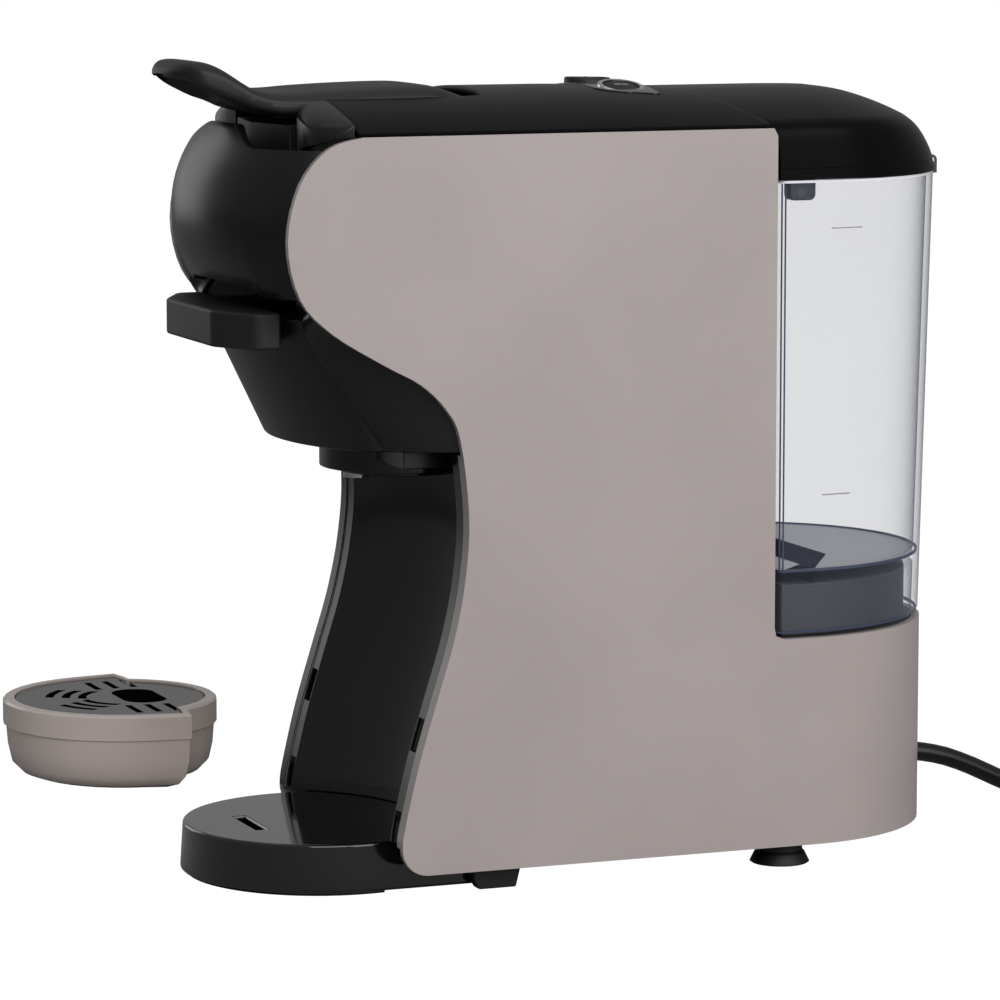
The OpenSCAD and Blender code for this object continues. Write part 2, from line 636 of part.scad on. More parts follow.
// The seam between the deck and the lid, as [z, y] from the lid's rim to the crown
lid_rise = crown_z - lid_low;
seam_table = [for (p = spline([[lid_low, seam_low], [lid_low + lid_rise * 0.28, seam_low - 0.4],
    [lid_low + lid_rise * 0.56, seam_low - 2.6], [lid_low + lid_rise * 0.775, seam_low - 8],
    [lid_low + lid_rise * 0.915, seam_low - 15], [crown_z, seam_top]], 5)) p];
lid_levels = [for (f = [0, 0.16, 0.34, 0.5, 0.64, 0.75, 0.84, 0.91, 0.96]) lid_low + lid_rise * f,
    crown_z - gap];
module seam_outline(shift) {
    polygon(concat([for (z = lid_levels) [lookup(z, seam_table) + shift, z]],
        [[seam_top - 4, crown_z + 5], [-60, crown_z + 5], [-60, lid_low]]));
}
deck_front = bed_front + gap;
module deck() {
    color([0.09, 0.09, 0.1]) difference() {
        intersection() {
            translate([0, 200, 0]) rotate([90, 0, 0]) linear_extrude(300) arch(0, half_w, deck_low);
            across(-70, 70) seam_outline(-gap / 2);
            across(-70, 70) polygon([[deck_front, deck_low - 2], [deck_front, crown_z - 6.4],
                [deck_front - 4, crown_z], [deck_front - 6, crown_z + 3.2], [200, crown_z + 3.2],
                [200, deck_low - 2]]);
        }
        translate([0, 250, 0]) rotate([90, 0, 0]) linear_extrude(300)
            arch(deck_wall, half_w - deck_wall - 1, deck_low - 1);
        translate([-lever_hw - 0.8, -60, 200])
            cube([2 * lever_hw + 1.6, lever_y + 60 + barrel_r + 0.7, 100]);
        translate([-lug_out - gap, lever_y - 7, 200]) cube([2 * (lug_out + gap), 14, lug_top + gap - 200]);
        for (s = [-1, 1]) translate([s * button_x, button_y, 200])
            cylinder(r = button_r + 2.2, h = 100, $fn = 64);
    }
}
module control_pod() {
    color([0.15, 0.15, 0.16]) difference() {
        intersection() {
            union() {
                for (s = [-1, 1]) hull() {
                    translate([s * button_x, button_y, deck_low])
                        cylinder(r = button_r + 4, h = 30, $fn = 32);
                    translate([s * 26, button_y + s * 8, deck_low]) cylinder(r = 1.2, h = 30, $fn = 16);
                }
                hull() for (s = [-1, 1]) translate([s * button_x, button_y, deck_low])
                    cylinder(r = button_r + 3.4, h = 30, $fn = 32);
            }
            translate([0, 200, 0]) rotate([90, 0, 0]) linear_extrude(150) difference() {
                arch(-0.9, 50, deck_low);
                arch(-0.05, 51, deck_low - 10);
            }
        }
        for (s = [-1, 1]) translate([s * button_x, button_y, 200])
            cylinder(r = button_r + 1.9, h = 100, $fn = 64);
    }
}
module button_ring(side) {
    color([0.85, 0.85, 0.86]) translate([side * button_x, button_y, 0]) difference() {
        translate([0, 0, crown_z - 5.6]) cylinder(r = button_r + 1.6, h = 6.6, $fn = 64);
        translate([0, 0, 200]) cylinder(r = button_r + pin_fit, h = 100, $fn = 64);
    }
}
module button(side) {
    color([0.12, 0.12, 0.13]) translate([side * button_x, button_y, 0]) {
        translate([0, 0, crown_z - 7.2]) cylinder(r = button_r, h = button_up + 7.2, $fn = 64);
    }
}
board_z = crown_z - 11;
board_t = 1.6;
post_x = 33;
module control_board() {
    color([0.1, 0.32, 0.16]) {
        difference() {
            translate([-36, button_y - 21, board_z]) cube([72, 44, board_t]);
            for (s = [-1, 1]) translate([s * post_x, button_y - 17, board_z - 1])
                cylinder(r = 1.6, h = board_t + 2, $fn = 24);
        }
    }
}
module board_posts() {
    color([0.14, 0.14, 0.15]) for (s = [-1, 1]) {
        translate([s * post_x, button_y - 17, board_z + board_t])
            cylinder(r = 3, h = 11 - board_t - deck_wall - 3.7, $fn = 24);
        translate([s * post_x, button_y - 17, board_z]) cylinder(r = 1.5, h = board_t + 0.1, $fn = 24);
        translate([s * button_x, button_y, board_z + board_t]) cylinder(r = 2.2, h = 0.9, $fn = 24);
    }
}

// ---- Tank ----
function tank_ring(r, y0, lean, z) = concat(
    [for (p = arc([0, back_y + lean], r, 0, 180, 28)) [p[0], p[1], z]], [[-r, y0, z], [r, y0, z]]);
module tank() {
    r1 = tank_r - tank_wall;
    y1 = tank_y + tank_wall;
    top_of_floor = tank_floor + floor_t;
    color([0.8, 0.84, 0.9, 0.35]) difference() {
        loft([tank_ring(tank_r, tank_y, 0, tank_low), tank_ring(tank_r, tank_y, tank_lean, lid_low - gap)]);
        loft([tank_ring(r1, y1, 0.5, top_of_floor), tank_ring(r1, y1, tank_lean, lid_low + 1)]);
        loft([tank_ring(r1, y1, 0, tank_low - 1), tank_ring(r1, y1, 0.4, tank_floor)]);
        translate([feed_x, feed_y, tank_low]) cylinder(r = valve_r - 2, h = 60, $fn = 64);
    }
}
module tank_valve() {
    top_of_floor = tank_floor + floor_t;
    color([0.75, 0.77, 0.8]) translate([feed_x, feed_y, 0]) rotate_extrude($fn = 64)
        polygon([[0, shelf_z + 6.4], [valve_r - 0.6, shelf_z + 6.4], [valve_r, tank_floor - 0.05],
            [valve_r - 2.05, tank_floor - 0.05], [valve_r - 2.05, top_of_floor + 0.05],
            [valve_r + 1, top_of_floor + 0.05], [valve_r - 1, top_of_floor + 2], [0, top_of_floor + 2]]);
}
module tank_seal() {
    color([0.05, 0.05, 0.05]) translate([feed_x, feed_y, shelf_z + 3]) difference() {
        cylinder(r = valve_r, h = 3, $fn = 64);
        translate([0, 0, -1]) cylinder(r = 3, h = 5, $fn = 32);
    }
}
// The lid's plan at a height: its front follows the seam, its sides the crown and its rear this curve
rear_table = [[lid_low, tank_back + 0.4], [lid_low + lid_rise * 0.25, tank_back - 1.6],
    [lid_low + lid_rise * 0.55, tank_back - 7.9], [lid_low + lid_rise * 0.76, tank_back - 17.9],
    [lid_low + lid_rise * 0.92, tank_back - 30.4], [crown_z - gap, tank_back - 42.4]];
function arch_at(z) = sqrt(pow(deck_arc, 2) - pow(deck_arc - crown_z + z, 2));
function lid_ring(z, zi, inset) = let(
    hw = min(half_w, arch_at(z)) - inset, y0 = lookup(zi, seam_table) + gap / 2 + inset,
    y1 = lookup(z, rear_table) - inset, cy = back_y + tank_lean)
    concat([[-hw, y0, zi], [hw, y0, zi]],
        [for (k = [0 : 14]) let(t = 180 * k / 14) [hw * cos(t), cy + (y1 - cy) * sin(t), zi]]);
module tank_lid() {
    squeeze = 1 - deck_wall / lid_rise;
    color([0.07, 0.07, 0.08]) loft(concat(
        [for (z = reversed(lid_levels)) lid_ring(z, lid_low + (z - lid_low) * squeeze, deck_wall)],
        [for (z = lid_levels) lid_ring(z, z, 0)]));
}
lug_x = tank_r - 10.4;
module lid_lug(side) {
    color([0.07, 0.07, 0.08]) scale_x(side) difference() {
        union() {
            across(lug_x, lug_x + 6) translate([tank_y + 4, lid_low])
                polygon([[0, 5], [12, 5], [10.8, -3], [7.8, -7], [3, -7], [0.2, -3]]);
            translate([lug_x, tank_y + 4, lid_low + 1]) cube([inner_w - lug_x - gap, 12, 4]);
        }
        translate([lug_x - 1, tank_y + 9.4, lid_low - 4.4]) rotate([0, 90, 0])
            cylinder(r = 1.5, h = 20, $fn = 32);
    }
}
module lid_knuckle() {
    start = lookup(hinge_z - 1, rear_table);
    color([0.07, 0.07, 0.08]) difference() {
        union() {
            translate([-knuckle_hw, hinge_y, hinge_z]) rotate([0, 90, 0])
                cylinder(r = knuckle_r, h = 2 * knuckle_hw, $fn = 32);
            translate([-knuckle_hw, start, hinge_z - 1]) cube([2 * knuckle_hw, hinge_y - start, 2]);
        }
        translate([-10, hinge_y, hinge_z]) rotate([0, 90, 0])
            cylinder(r = hinge_r + pin_fit, h = 20, $fn = 32);
    }
}
module hinge_tab() {
    low = lid_low - 2.6;
    ear = tab_hw - knuckle_hw - gap;
    color([0.45, 0.5, 0.6]) difference() {
        union() {
            translate([-tab_hw, tank_back, low]) cube([2 * tab_hw, hinge_y + knuckle_r - tank_back, 2.2]);
            both_sides() translate([tab_hw - ear, hinge_y, hinge_z]) {
                rotate([0, 90, 0]) cylinder(r = knuckle_r, h = ear, $fn = 32);
                translate([0, -1.3, low - hinge_z]) cube([ear, 1.3 + knuckle_r, hinge_z - low]);
            }
        }
        translate([-20, hinge_y, hinge_z]) rotate([0, 90, 0]) cylinder(r = hinge_r, h = 40, $fn = 32);
    }
}
module lid_pin() {
    color([0.6, 0.6, 0.62]) translate([-tab_hw, hinge_y, hinge_z]) rotate([0, 90, 0])
        cylinder(r = hinge_r, h = 2 * tab_hw, $fn = 32);
}

// ---- Works inside the body ----
module pump() {
    color([0.7, 0.68, 0.6]) translate([0, pump_y, pump_z]) {
        rotate([90, 0, 0]) cylinder(r = pump_r, h = 44, center = true, $fn = 64);
        translate([0, 22, 0]) rotate([-90, 0, 0]) cylinder(r = 6, h = 14, $fn = 32);
    }
}
module pump_cradle() {
    color([0.2, 0.2, 0.2]) difference() {
        translate([-22, 78, plate_z + plate_t]) cube([44, 28, pump_z - plate_z - plate_t]);
        translate([0, 130, pump_z]) rotate([90, 0, 0]) cylinder(r = pump_r + 0.05, h = 80, $fn = 64);
        translate([-24, 86, plate_z + plate_t + 4]) cube([48, 12, 5]);
    }
}
module boiler() {
    color([0.66, 0.67, 0.7]) translate([0, 78, boiler_z - 3]) {
        cylinder(r = 17, h = 56, $fn = 64);
        translate([0, 0, 56]) cylinder(r = 5, h = 8, $fn = 32);
    }
}
module feed_tube() {
    color([0.85, 0.85, 0.82]) translate([feed_x, feed_y, 0]) {
        translate([0, 0, 52]) cylinder(r = 3.2, h = shelf_z - 2.5 - 52, $fn = 32);
    }
    color([0.85, 0.85, 0.82]) translate([feed_x, feed_y, 52]) sphere(r = 4.4, $fn = 32);
}

// ---- Drip tray and grid, taken off and standing beside the machine ----
function tray_plan(r, ear) = let(w = r + 1.8, back_r = r - 7, t = asin((ear + 8.6) / back_r))
    concat(arc([0, 0], r, 188, 352, 18), [[w, ear], [w - 8.6, ear + 1.6]],
        arc([0, -7], back_r, t, 180 - t, 12), [[-w + 8.6, ear + 1.6], [-w, ear]]);
function tray_level(inset, drop, z) =
    [for (q = tray_plan(tray_r - inset, tray_ear - drop)) [q[0], q[1], z]];
tray_ear = 9;
seat_z = tray_h - grid_down - grid_t - 0.1;
module at_tray() {
    translate([tray_x, tray_y, 0]) children();
}
module drip_tray() {
    band = tray_h - 9;
    deep = tray_wall + 1.8;
    color([0.7, 0.67, 0.66]) at_tray() loft([tray_level(11, 6, 0), tray_level(6.4, 3, 1.6),
        tray_level(3, 1.4, 5),
        tray_level(1.6, 0.6, 11), tray_level(1, 0.4, band - 0.4), tray_level(0, 0, band),
        tray_level(0, 0, tray_h - 0.8), tray_level(0.8, 0.3, tray_h), tray_level(tray_wall, 2, tray_h),
        tray_level(tray_wall, 2, seat_z), tray_level(deep, 3, seat_z), tray_level(deep + 1, 3.6, 9),
        tray_level(deep + 4, 5, 4.4), tray_level(deep + 9, 8, 2.6)]);
}
module grid_slots() {
    hull() for (s = [-1, 1]) translate([s * 7, 4]) circle(r = 8, $fn = 32);
    for (side = [-1, 1], k = [0 : 2])
        translate([side * 27 - side * k * 0.6 - 8, 1 + 6 - k * 7]) square([16, 2.6]);
    for (side = [-1, 1], k = [0 : 2]) let(r = 17 + 6 * k) intersection() {
        difference() {
            circle(r = r + 1.5, $fn = 72);
            circle(r = r - 1.5, $fn = 72);
        }
        rotate(-90 + side * 33) translate([0, -8]) square([60, 16]);
    }
}
module drip_grid() {
    color([0.05, 0.05, 0.05]) at_tray() translate([0, 0, tray_h - grid_down - grid_t])
        linear_extrude(grid_t)
        difference() {
            polygon(tray_plan(tray_r - tray_wall - grid_fit, tray_ear - 2 - grid_fit));
            grid_slots();
        }
}

// ---- Mains cord ----
cord_y = back_y + half_w;
// The cord leaves the gland and runs down to the table, behind the machine
cord_route = [[0, 216, 24.8], [0, 222, 24], [0, 231, 21.8], [0, 241, 17.8], [0, 251, 13], [0, 261, 8.6],
    [0, 271, 5.4], [0, 281, 4]];
coil_c = [39, 300];
coil_in = 29.4;
coil_out = 42.6;
coil_z = 0.6;
tie_t = 0.6;
relief_x = coil_c[0] + coil_out - cord_d / 2;
relief_y = coil_c[1] - 17;
plug_z = 12;
plug_w = 24;
plug_l = 28;
blade_l = 17;
function unit(v) = v / norm(v);
module cord_tube() {
    path = spline(cord_route, 2);
    n = len(path) - 1;
    color([0.05, 0.05, 0.05]) loft([for (i = [0 : n])
        let(d = unit(path[min(i + 1, n)] - path[max(i - 1, 0)]), up = cross([1, 0, 0], d))
        [for (k = [0 : 9]) path[i] + cord_d / 2 * (cos(36 * k) * [1, 0, 0] + sin(36 * k) * up)]]);
}
module cord_gland() {
    r = cord_d / 2;
    color([0.06, 0.06, 0.06]) translate([0, cord_y, cord_z]) rotate([-90, 0, 0]) rotate_extrude($fn = 48)
        polygon([[0, -22], [r + 5, -22], [r + 5, -19], [r + 2.8, -18], [r + 0.8, 3], [0, 3]]);
}
module cord_coil() {
    color([0.05, 0.05, 0.05]) translate([coil_c[0], coil_c[1], coil_z]) difference() {
        cylinder(r = coil_out, h = 2 * cord_d, $fn = 96);
        translate([0, 0, -1]) cylinder(r = coil_in, h = 2 * cord_d + 2, $fn = 96);
    }
}
module cord_tie() {
    l = coil_out - coil_in + gap;
    color([0.1, 0.1, 0.1]) translate([coil_c[0] - 4, coil_c[1] + coil_in - gap, coil_z]) difference() {
        translate([0, -tie_t, -tie_t]) cube([8, l + 2 * tie_t, 2 * (cord_d + tie_t)]);
        translate([-1, 0, 0]) cube([10, l, 2 * cord_d]);
    }
}
module plug() {
    color([0.06, 0.06, 0.06]) translate([relief_x, relief_y, plug_z]) {
        rotate([90, 0, 0]) cylinder(r1 = cord_d / 2 + 1, r2 = 6.4, h = 16, $fn = 48);
        translate([-plug_w / 2, -16 - plug_l, -plug_w / 2]) cube([plug_w, plug_l, plug_w]);
    }
}
module plug_pins() {
    color([0.75, 0.72, 0.6]) translate([relief_x, relief_y - 16 - plug_l - blade_l, plug_z]) {
        for (s = [-1, 1]) translate([s * 6.35 - 0.75, 0, -1.15]) cube([1.5, blade_l, 6.3]);
        translate([0, 0, -7]) rotate([-90, 0, 0]) cylinder(d = 4.8, h = blade_l, $fn = 32);
    }
}

side_panel(1);  // side_panel_right
side_panel(-1);  // side_panel_left
base();
base_pad();
column();
rail(1);  // rail_right
rail(-1);  // rail_left
frame();
shelf();
pedestal();
bottom_plate();
front_foot(1);  // front_foot_right
front_foot(-1);  // front_foot_left
suction_foot(1);  // suction_foot_right
suction_foot(-1);  // suction_foot_left
dome();
dome_roof();
cheek(1);  // cheek_right
cheek(-1);  // cheek_left
shoulder(1);  // shoulder_right
shoulder(-1);  // shoulder_left
holder_cone();
pod_cup();
grip();
collar();
spout();
press();
press_guide();
lever();
lever_pin();
lever_bed();
deck();
control_pod();
button_ring(1);  // button_ring_right
button_ring(-1);  // button_ring_left
button(1);  // button_right
button(-1);  // button_left
control_board();
board_posts();
tank();
tank_valve();
tank_seal();
tank_lid();
lid_lug(1);  // lid_lug_right
lid_lug(-1);  // lid_lug_left
lid_knuckle();
lid_pin();
hinge_tab();
pump();
pump_cradle();
boiler();
feed_tube();
drip_tray();
drip_grid();
cord_gland();
cord_tube();
cord_coil();
cord_tie();
plug();
plug_pins();
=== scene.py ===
import bmesh
import bpy
import json
from math import acos, cos, pi, radians, sin, sqrt
from mathutils import Matrix, Vector

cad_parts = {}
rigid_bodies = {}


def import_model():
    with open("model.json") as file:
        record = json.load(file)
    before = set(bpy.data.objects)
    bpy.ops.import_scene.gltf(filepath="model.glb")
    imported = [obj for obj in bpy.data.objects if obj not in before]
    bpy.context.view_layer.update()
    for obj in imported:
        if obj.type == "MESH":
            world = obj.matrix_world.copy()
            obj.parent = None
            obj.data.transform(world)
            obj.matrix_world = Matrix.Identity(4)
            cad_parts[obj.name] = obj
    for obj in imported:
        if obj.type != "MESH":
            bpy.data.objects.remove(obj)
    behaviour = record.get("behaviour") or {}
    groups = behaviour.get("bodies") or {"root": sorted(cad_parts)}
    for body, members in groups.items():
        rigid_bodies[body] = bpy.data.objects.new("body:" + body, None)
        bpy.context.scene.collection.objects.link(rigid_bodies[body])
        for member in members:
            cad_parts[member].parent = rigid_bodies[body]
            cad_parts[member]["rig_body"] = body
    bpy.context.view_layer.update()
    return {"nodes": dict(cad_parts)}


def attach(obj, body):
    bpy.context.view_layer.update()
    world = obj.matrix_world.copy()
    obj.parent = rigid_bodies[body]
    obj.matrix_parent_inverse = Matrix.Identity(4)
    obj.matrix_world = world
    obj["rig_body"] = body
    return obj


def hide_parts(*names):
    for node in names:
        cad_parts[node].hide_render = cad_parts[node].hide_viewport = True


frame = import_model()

mm = 0.001


# shader maths: a Wire is a socket that can be added, multiplied and so on
class Wire:
    def __init__(self, finish, socket):
        self.finish = finish
        self.socket = socket

    def join(self, operation, first, second):
        return self.finish.make("ShaderNodeMath", {"operation": operation}, {0: first, 1: second})

    def __add__(self, other):
        return self.join("ADD", self, other)

    def __radd__(self, other):
        return self.join("ADD", other, self)

    def __sub__(self, other):
        return self.join("SUBTRACT", self, other)

    def __rsub__(self, other):
        return self.join("SUBTRACT", other, self)

    def __mul__(self, other):
        return self.join("MULTIPLY", self, other)

    def __rmul__(self, other):
        return self.join("MULTIPLY", other, self)

    def __pow__(self, other):
        return self.join("POWER", self, other)


class Finish:
    def __init__(self, name, **constants):
        self.material = bpy.data.materials.new(name)
        self.material.use_nodes = True
        self.tree = self.material.node_tree
        self.shader = self.tree.nodes["Principled BSDF"]
        for key, value in constants.items():
            self.shader.inputs[key.replace("_", " ")].default_value = value

    def make(self, kind, settings=None, values=None, out=0):
        node = self.tree.nodes.new(kind)
        for key, value in (settings or {}).items():
            if key == "stops":
                ramp = node.color_ramp
                while len(ramp.elements) < len(value):
                    ramp.elements.new(1.0)
                for element, (place, level) in zip(ramp.elements, value):
                    element.position = place
                    element.color = (level, level, level, 1)
            else:
                setattr(node, key, value)
        for key, value in (values or {}).items():
            if isinstance(value, Wire):
                self.tree.links.new(value.socket, node.inputs[key])
            else:
                node.inputs[key].default_value = value
        return Wire(self, node.outputs[out])

    def feed(self, name, wire):
        self.tree.links.new(wire.socket, self.shader.inputs[name])

    def place(self):
        return self.make("ShaderNodeTexCoord", out="Object")

    def noise(self, scale, detail=3.0, where=None):
        return self.make("ShaderNodeTexNoise", None,
                         {"Vector": where or self.place(), "Scale": scale, "Detail": detail})

    def ramp(self, wire, stops):
        return self.make("ShaderNodeValToRGB", {"stops": stops}, {"Fac": wire})

    def shade(self, mask, dark, light):
        return self.make("ShaderNodeMix", {"data_type": "RGBA"},
                         {"Factor": mask, 6: tone(dark), 7: tone(light)}, out=2)

    def bump(self, height, strength, distance):
        self.feed("Normal", self.make("ShaderNodeBump", None,
                                      {"Height": height, "Strength": strength, "Distance": distance}))


def tone(rgb):  # 0-255 screen values to the linear colour that a shader takes
    linear = [(c / 255 / 12.92) if c <= 10 else ((c / 255 + 0.055) / 1.055) ** 2.4 for c in rgb]
    return (*linear, 1.0)


# noise scales of the plastics: slow clouds in the colour, smears in the gloss, grain in the relief
texture = {"cloud": 14, "cloudStops": ((0.35, 0), (0.65, 1)), "smear": 38, "grainDepth": 0.0002}


def plastic(name, dark, light, rough, grain, grainScale=1500, smudge=0.05, coat=0.0, index=1.42):
    finish = Finish(name, Coat_Roughness=0.08, Coat_Weight=coat, IOR=index)
    cloud = finish.ramp(finish.noise(texture["cloud"], 2), texture["cloudStops"])
    finish.feed("Base Color", finish.shade(cloud, dark, light))
    smear = finish.noise(texture["smear"], 5)
    finish.feed("Roughness", rough + (smear - 0.5) * smudge)
    if grain:
        finish.bump(finish.noise(grainScale, 2), grain, texture["grainDepth"])
    return finish.material


# the tank's plastic: clear where it faces the eye, grey-blue where it is seen edge on
clearness = {"face": 0.09, "edge": 0.8, "fall": 5.0, "streak": 0.02, "rough": 0.05, "smear": 0.03}


def clearPlastic(name, dark, light):
    finish = Finish(name, IOR=1.3)
    facing = finish.make("ShaderNodeLayerWeight", None, {"Blend": 0.5}, out="Facing")
    finish.feed("Base Color", finish.shade(finish.noise(9, 2), dark, light))
    finish.feed("Roughness", clearness["rough"] + finish.noise(30, 3) * clearness["smear"])
    edge = facing ** clearness["fall"] * clearness["edge"]
    finish.feed("Alpha", clearness["face"] + edge + finish.noise(7, 3) * clearness["streak"])
    return finish.material


# the metals: darker clouds, smears in the gloss and, where brushed, fine lines that run upwards
metalwork = {"dark": 0.94, "cloud": 60, "smear": 90, "smearDepth": 0.06, "lines": (4000, 4000, 80),
             "lineDepth": 0.0001}


def metal(name, colour, rough, brush=0.0):
    finish = Finish(name, Metallic=1.0)
    dark = [c * metalwork["dark"] for c in colour]
    finish.feed("Base Color", finish.shade(finish.noise(metalwork["cloud"], 2), dark, colour))
    finish.feed("Roughness", rough + finish.noise(metalwork["smear"], 3) * metalwork["smearDepth"])
    if brush:
        stretched = finish.make("ShaderNodeMapping", None,
                                {"Vector": finish.place(), "Scale": metalwork["lines"]})
        finish.bump(finish.noise(1, 2, stretched), brush, metalwork["lineDepth"])
    return finish.material


finishes = {  # screen values of the dark and light parts, roughness, strength of the grain and its scale
    "greyShell": plastic("greyShell", (172, 162, 160), (178, 168, 166), 0.36, 0.05, 2600),
    "blackGloss": plastic("blackGloss", (11, 11, 12), (15, 14, 16), 0.16, 0.0, smudge=0.06, coat=0.2),
    "deckBlack": plastic("deckBlack", (11, 11, 12), (15, 14, 16), 0.3, 0.03, 2200, index=1.12),
    "pianoBlack": plastic("pianoBlack", (8, 8, 9), (11, 11, 12), 0.08, 0.0, smudge=0.03, coat=0.7),
    "blackSatin": plastic("blackSatin", (12, 12, 13), (16, 15, 17), 0.32, 0.04, 2200),
    "charcoal": plastic("charcoal", (24, 23, 25), (29, 28, 30), 0.5, 0.12, 2400),
    "plinth": plastic("plinth", (56, 53, 52), (64, 60, 59), 0.4, 0.06),
    "frost": plastic("frost", (240, 241, 247), (246, 247, 252), 0.1, 0.0),
    "tankEdge": plastic("tankEdge", (58, 64, 88), (70, 78, 104), 0.16, 0.0),
    "tray": plastic("tray", (234, 219, 212), (240, 226, 219), 0.24, 0.03, coat=0.3),
    "works": plastic("works", (74, 74, 76), (84, 84, 86), 0.5, 0.1),
    "rubber": plastic("rubber", (14, 14, 14), (20, 20, 20), 0.55, 0.18, 1800),
    "jacket": plastic("jacket", (12, 12, 13), (17, 17, 18), 0.34, 0.06, 1400),
    "board": plastic("board", (24, 84, 48), (30, 96, 56), 0.3, 0.05),
    "mark": plastic("mark", (150, 152, 156), (160, 162, 166), 0.35, 0.0),
    "clear": clearPlastic("clear", (112, 120, 142), (140, 148, 168)),
    "steel": metal("steel", (176, 178, 182), 0.26, 0.12),
    "ring": metal("ring", (225, 226, 230), 0.08),
    "blade": metal("blade", (205, 200, 186), 0.18),
}
print("finishes made:", len(finishes))


# making and finishing pieces
def bodyOf(node):
    return frame["nodes"][node]["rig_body"]


def sideName(side):
    return "right" if side > 0 else "left"


def roundEdges(piece, width, segments, sharp):
    rounding = piece.modifiers.new("rounding", "BEVEL")
    rounding.width = width * mm
    rounding.segments = segments
    rounding.limit_method = "ANGLE"
    rounding.angle_limit = radians(sharp)
    return rounding


def makePiece(name, bm, finish, replaced=(), body=None, bevel=0, segments=2, sharp=40, unit=mm):
    bmesh.ops.remove_doubles(bm, verts=bm.verts, dist=1e-4 if unit == mm else 1e-6)
    if unit != 1:
        bmesh.ops.scale(bm, verts=bm.verts, vec=(unit, unit, unit))
    for face in bm.faces:
        face.smooth = True
    for edge in bm.edges:
        edge.smooth = edge.calc_face_angle(0) < radians(sharp)
    mesh = bpy.data.meshes.new(name)
    bm.to_mesh(mesh)
    bm.free()
    piece = bpy.data.objects.new(name, mesh)
    bpy.context.collection.objects.link(piece)
    mesh.materials.append(finishes[finish])
    if bevel:
        roundEdges(piece, bevel, segments, sharp).harden_normals = True
    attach(piece, body or bodyOf(replaced[0]))
    if replaced:
        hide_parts(*replaced)
    return piece


def recalc(bm):
    bmesh.ops.remove_doubles(bm, verts=bm.verts, dist=1e-4)
    bmesh.ops.recalc_face_normals(bm, faces=bm.faces)


def nodeCopy(node, finish, bevel, segments=2):  # a CAD part with its edges rounded
    bm = bmesh.new()
    bm.from_mesh(bpy.data.objects[node].data)
    bmesh.ops.remove_doubles(bm, verts=bm.verts, dist=2e-6)
    bmesh.ops.dissolve_limit(bm, angle_limit=radians(0.4), verts=bm.verts, edges=bm.edges)
    return makePiece(node + "Shell", bm, finish, (node,), bevel=bevel, segments=segments, sharp=38, unit=1)


def paintNode(finish, *nodes):
    for node in nodes:
        materials = bpy.data.objects[node].data.materials
        materials.clear()
        materials.append(finishes[finish])


def placeKey(vert):
    return tuple(round(c, 5) for c in vert.co)


def ringStack(bm, count, levels, placeAt, closeEnds=True):  # a ring of points carried from level to level
    ring = bmesh.ops.create_circle(bm, segments=count, radius=1, cap_ends=False)["verts"]
    first = ring
    for step, level in enumerate(levels):
        if step:
            edges = list(dict.fromkeys(edge for vert in ring for edge in vert.link_edges
                                       if all(end in ringSet for end in edge.verts)))
            made = bmesh.ops.extrude_edge_only(bm, edges=edges)["geom"]
            source = {placeKey(vert): vert for vert in made if isinstance(vert, bmesh.types.BMVert)}
            ring = [source[placeKey(vert)] for vert in ring]
        for k, vert in enumerate(ring):
            vert.co = placeAt(k, level)
        ringSet = set(ring)
    if closeEnds:
        bm.faces.new(ring)
        bm.faces.new(list(reversed(first)))
    recalc(bm)
    return bm


def sheet(bm, across, along, placeAt):
    grid = bmesh.ops.create_grid(bm, x_segments=across, y_segments=along, size=0.5)["verts"]
    for vert in grid:
        vert.co = placeAt(vert.co.x + 0.5, vert.co.y + 0.5)
    return bm


def thicken(bm, depth):
    bmesh.ops.recalc_face_normals(bm, faces=bm.faces)
    bmesh.ops.solidify(bm, geom=list(bm.faces), thickness=depth)
    recalc(bm)


def slab(bm, outline, low, high):
    face = bm.faces.new([bm.verts.new((x, y, low)) for x, y in outline])
    grown = bmesh.ops.extrude_face_region(bm, geom=[face])["geom"]
    raised = [vert for vert in grown if isinstance(vert, bmesh.types.BMVert)]
    bmesh.ops.translate(bm, verts=raised, vec=(0, 0, high - low))
    recalc(bm)
    return bm


def turned(bm, profile, centre, steps=64):  # a [radius, height] outline spun about a vertical axis
    verts = [bm.verts.new((r, 0, z)) for r, z in profile]
    edges = [bm.edges.new(pair) for pair in zip(verts, verts[1:])]
    bmesh.ops.spin(bm, geom=verts + edges, cent=(0, 0, 0), axis=(0, 0, 1), angle=2 * pi, steps=steps,
                   use_merge=True)
    recalc(bm)
    bmesh.ops.translate(bm, verts=bm.verts, vec=centre)
    return bm


def arc(cx, cy, r, start, end, steps=6):
    angles = [radians(start + (end - start) * k / steps) for k in range(steps + 1)]
    return [(cx + r * cos(angle), cy + r * sin(angle)) for angle in angles]


def curveValue(a, b, c, d, t):  # between b and c on a smooth curve through a, b, c and d
    return 0.5 * (2 * b + (c - a) * t + (2 * a - 5 * b + 4 * c - d) * t * t
                  + (3 * b - a - 3 * c + d) * t ** 3)


def splineThrough(points, steps):
    rows = [Vector(point) for point in points]
    last = len(rows) - 1
    made = [curveValue(rows[max(i - 1, 0)], rows[i], rows[i + 1], rows[min(i + 2, last)], k / steps)
            for i in range(last) for k in range(steps)]
    return made + [rows[-1]]


def lookUp(value, table):
    pairs = sorted(((p[0], p[1]) for p in table))
    if value <= pairs[0][0]:
        return pairs[0][1]
    for (x0, y0), (x1, y1) in zip(pairs, pairs[1:]):
        if value <= x1:
            return y0 + (y1 - y0) * (value - x0) / (x1 - x0 or 1)
    return pairs[-1][1]


def power(value, n):
    return (abs(value) ** n) * (1 if value >= 0 else -1)


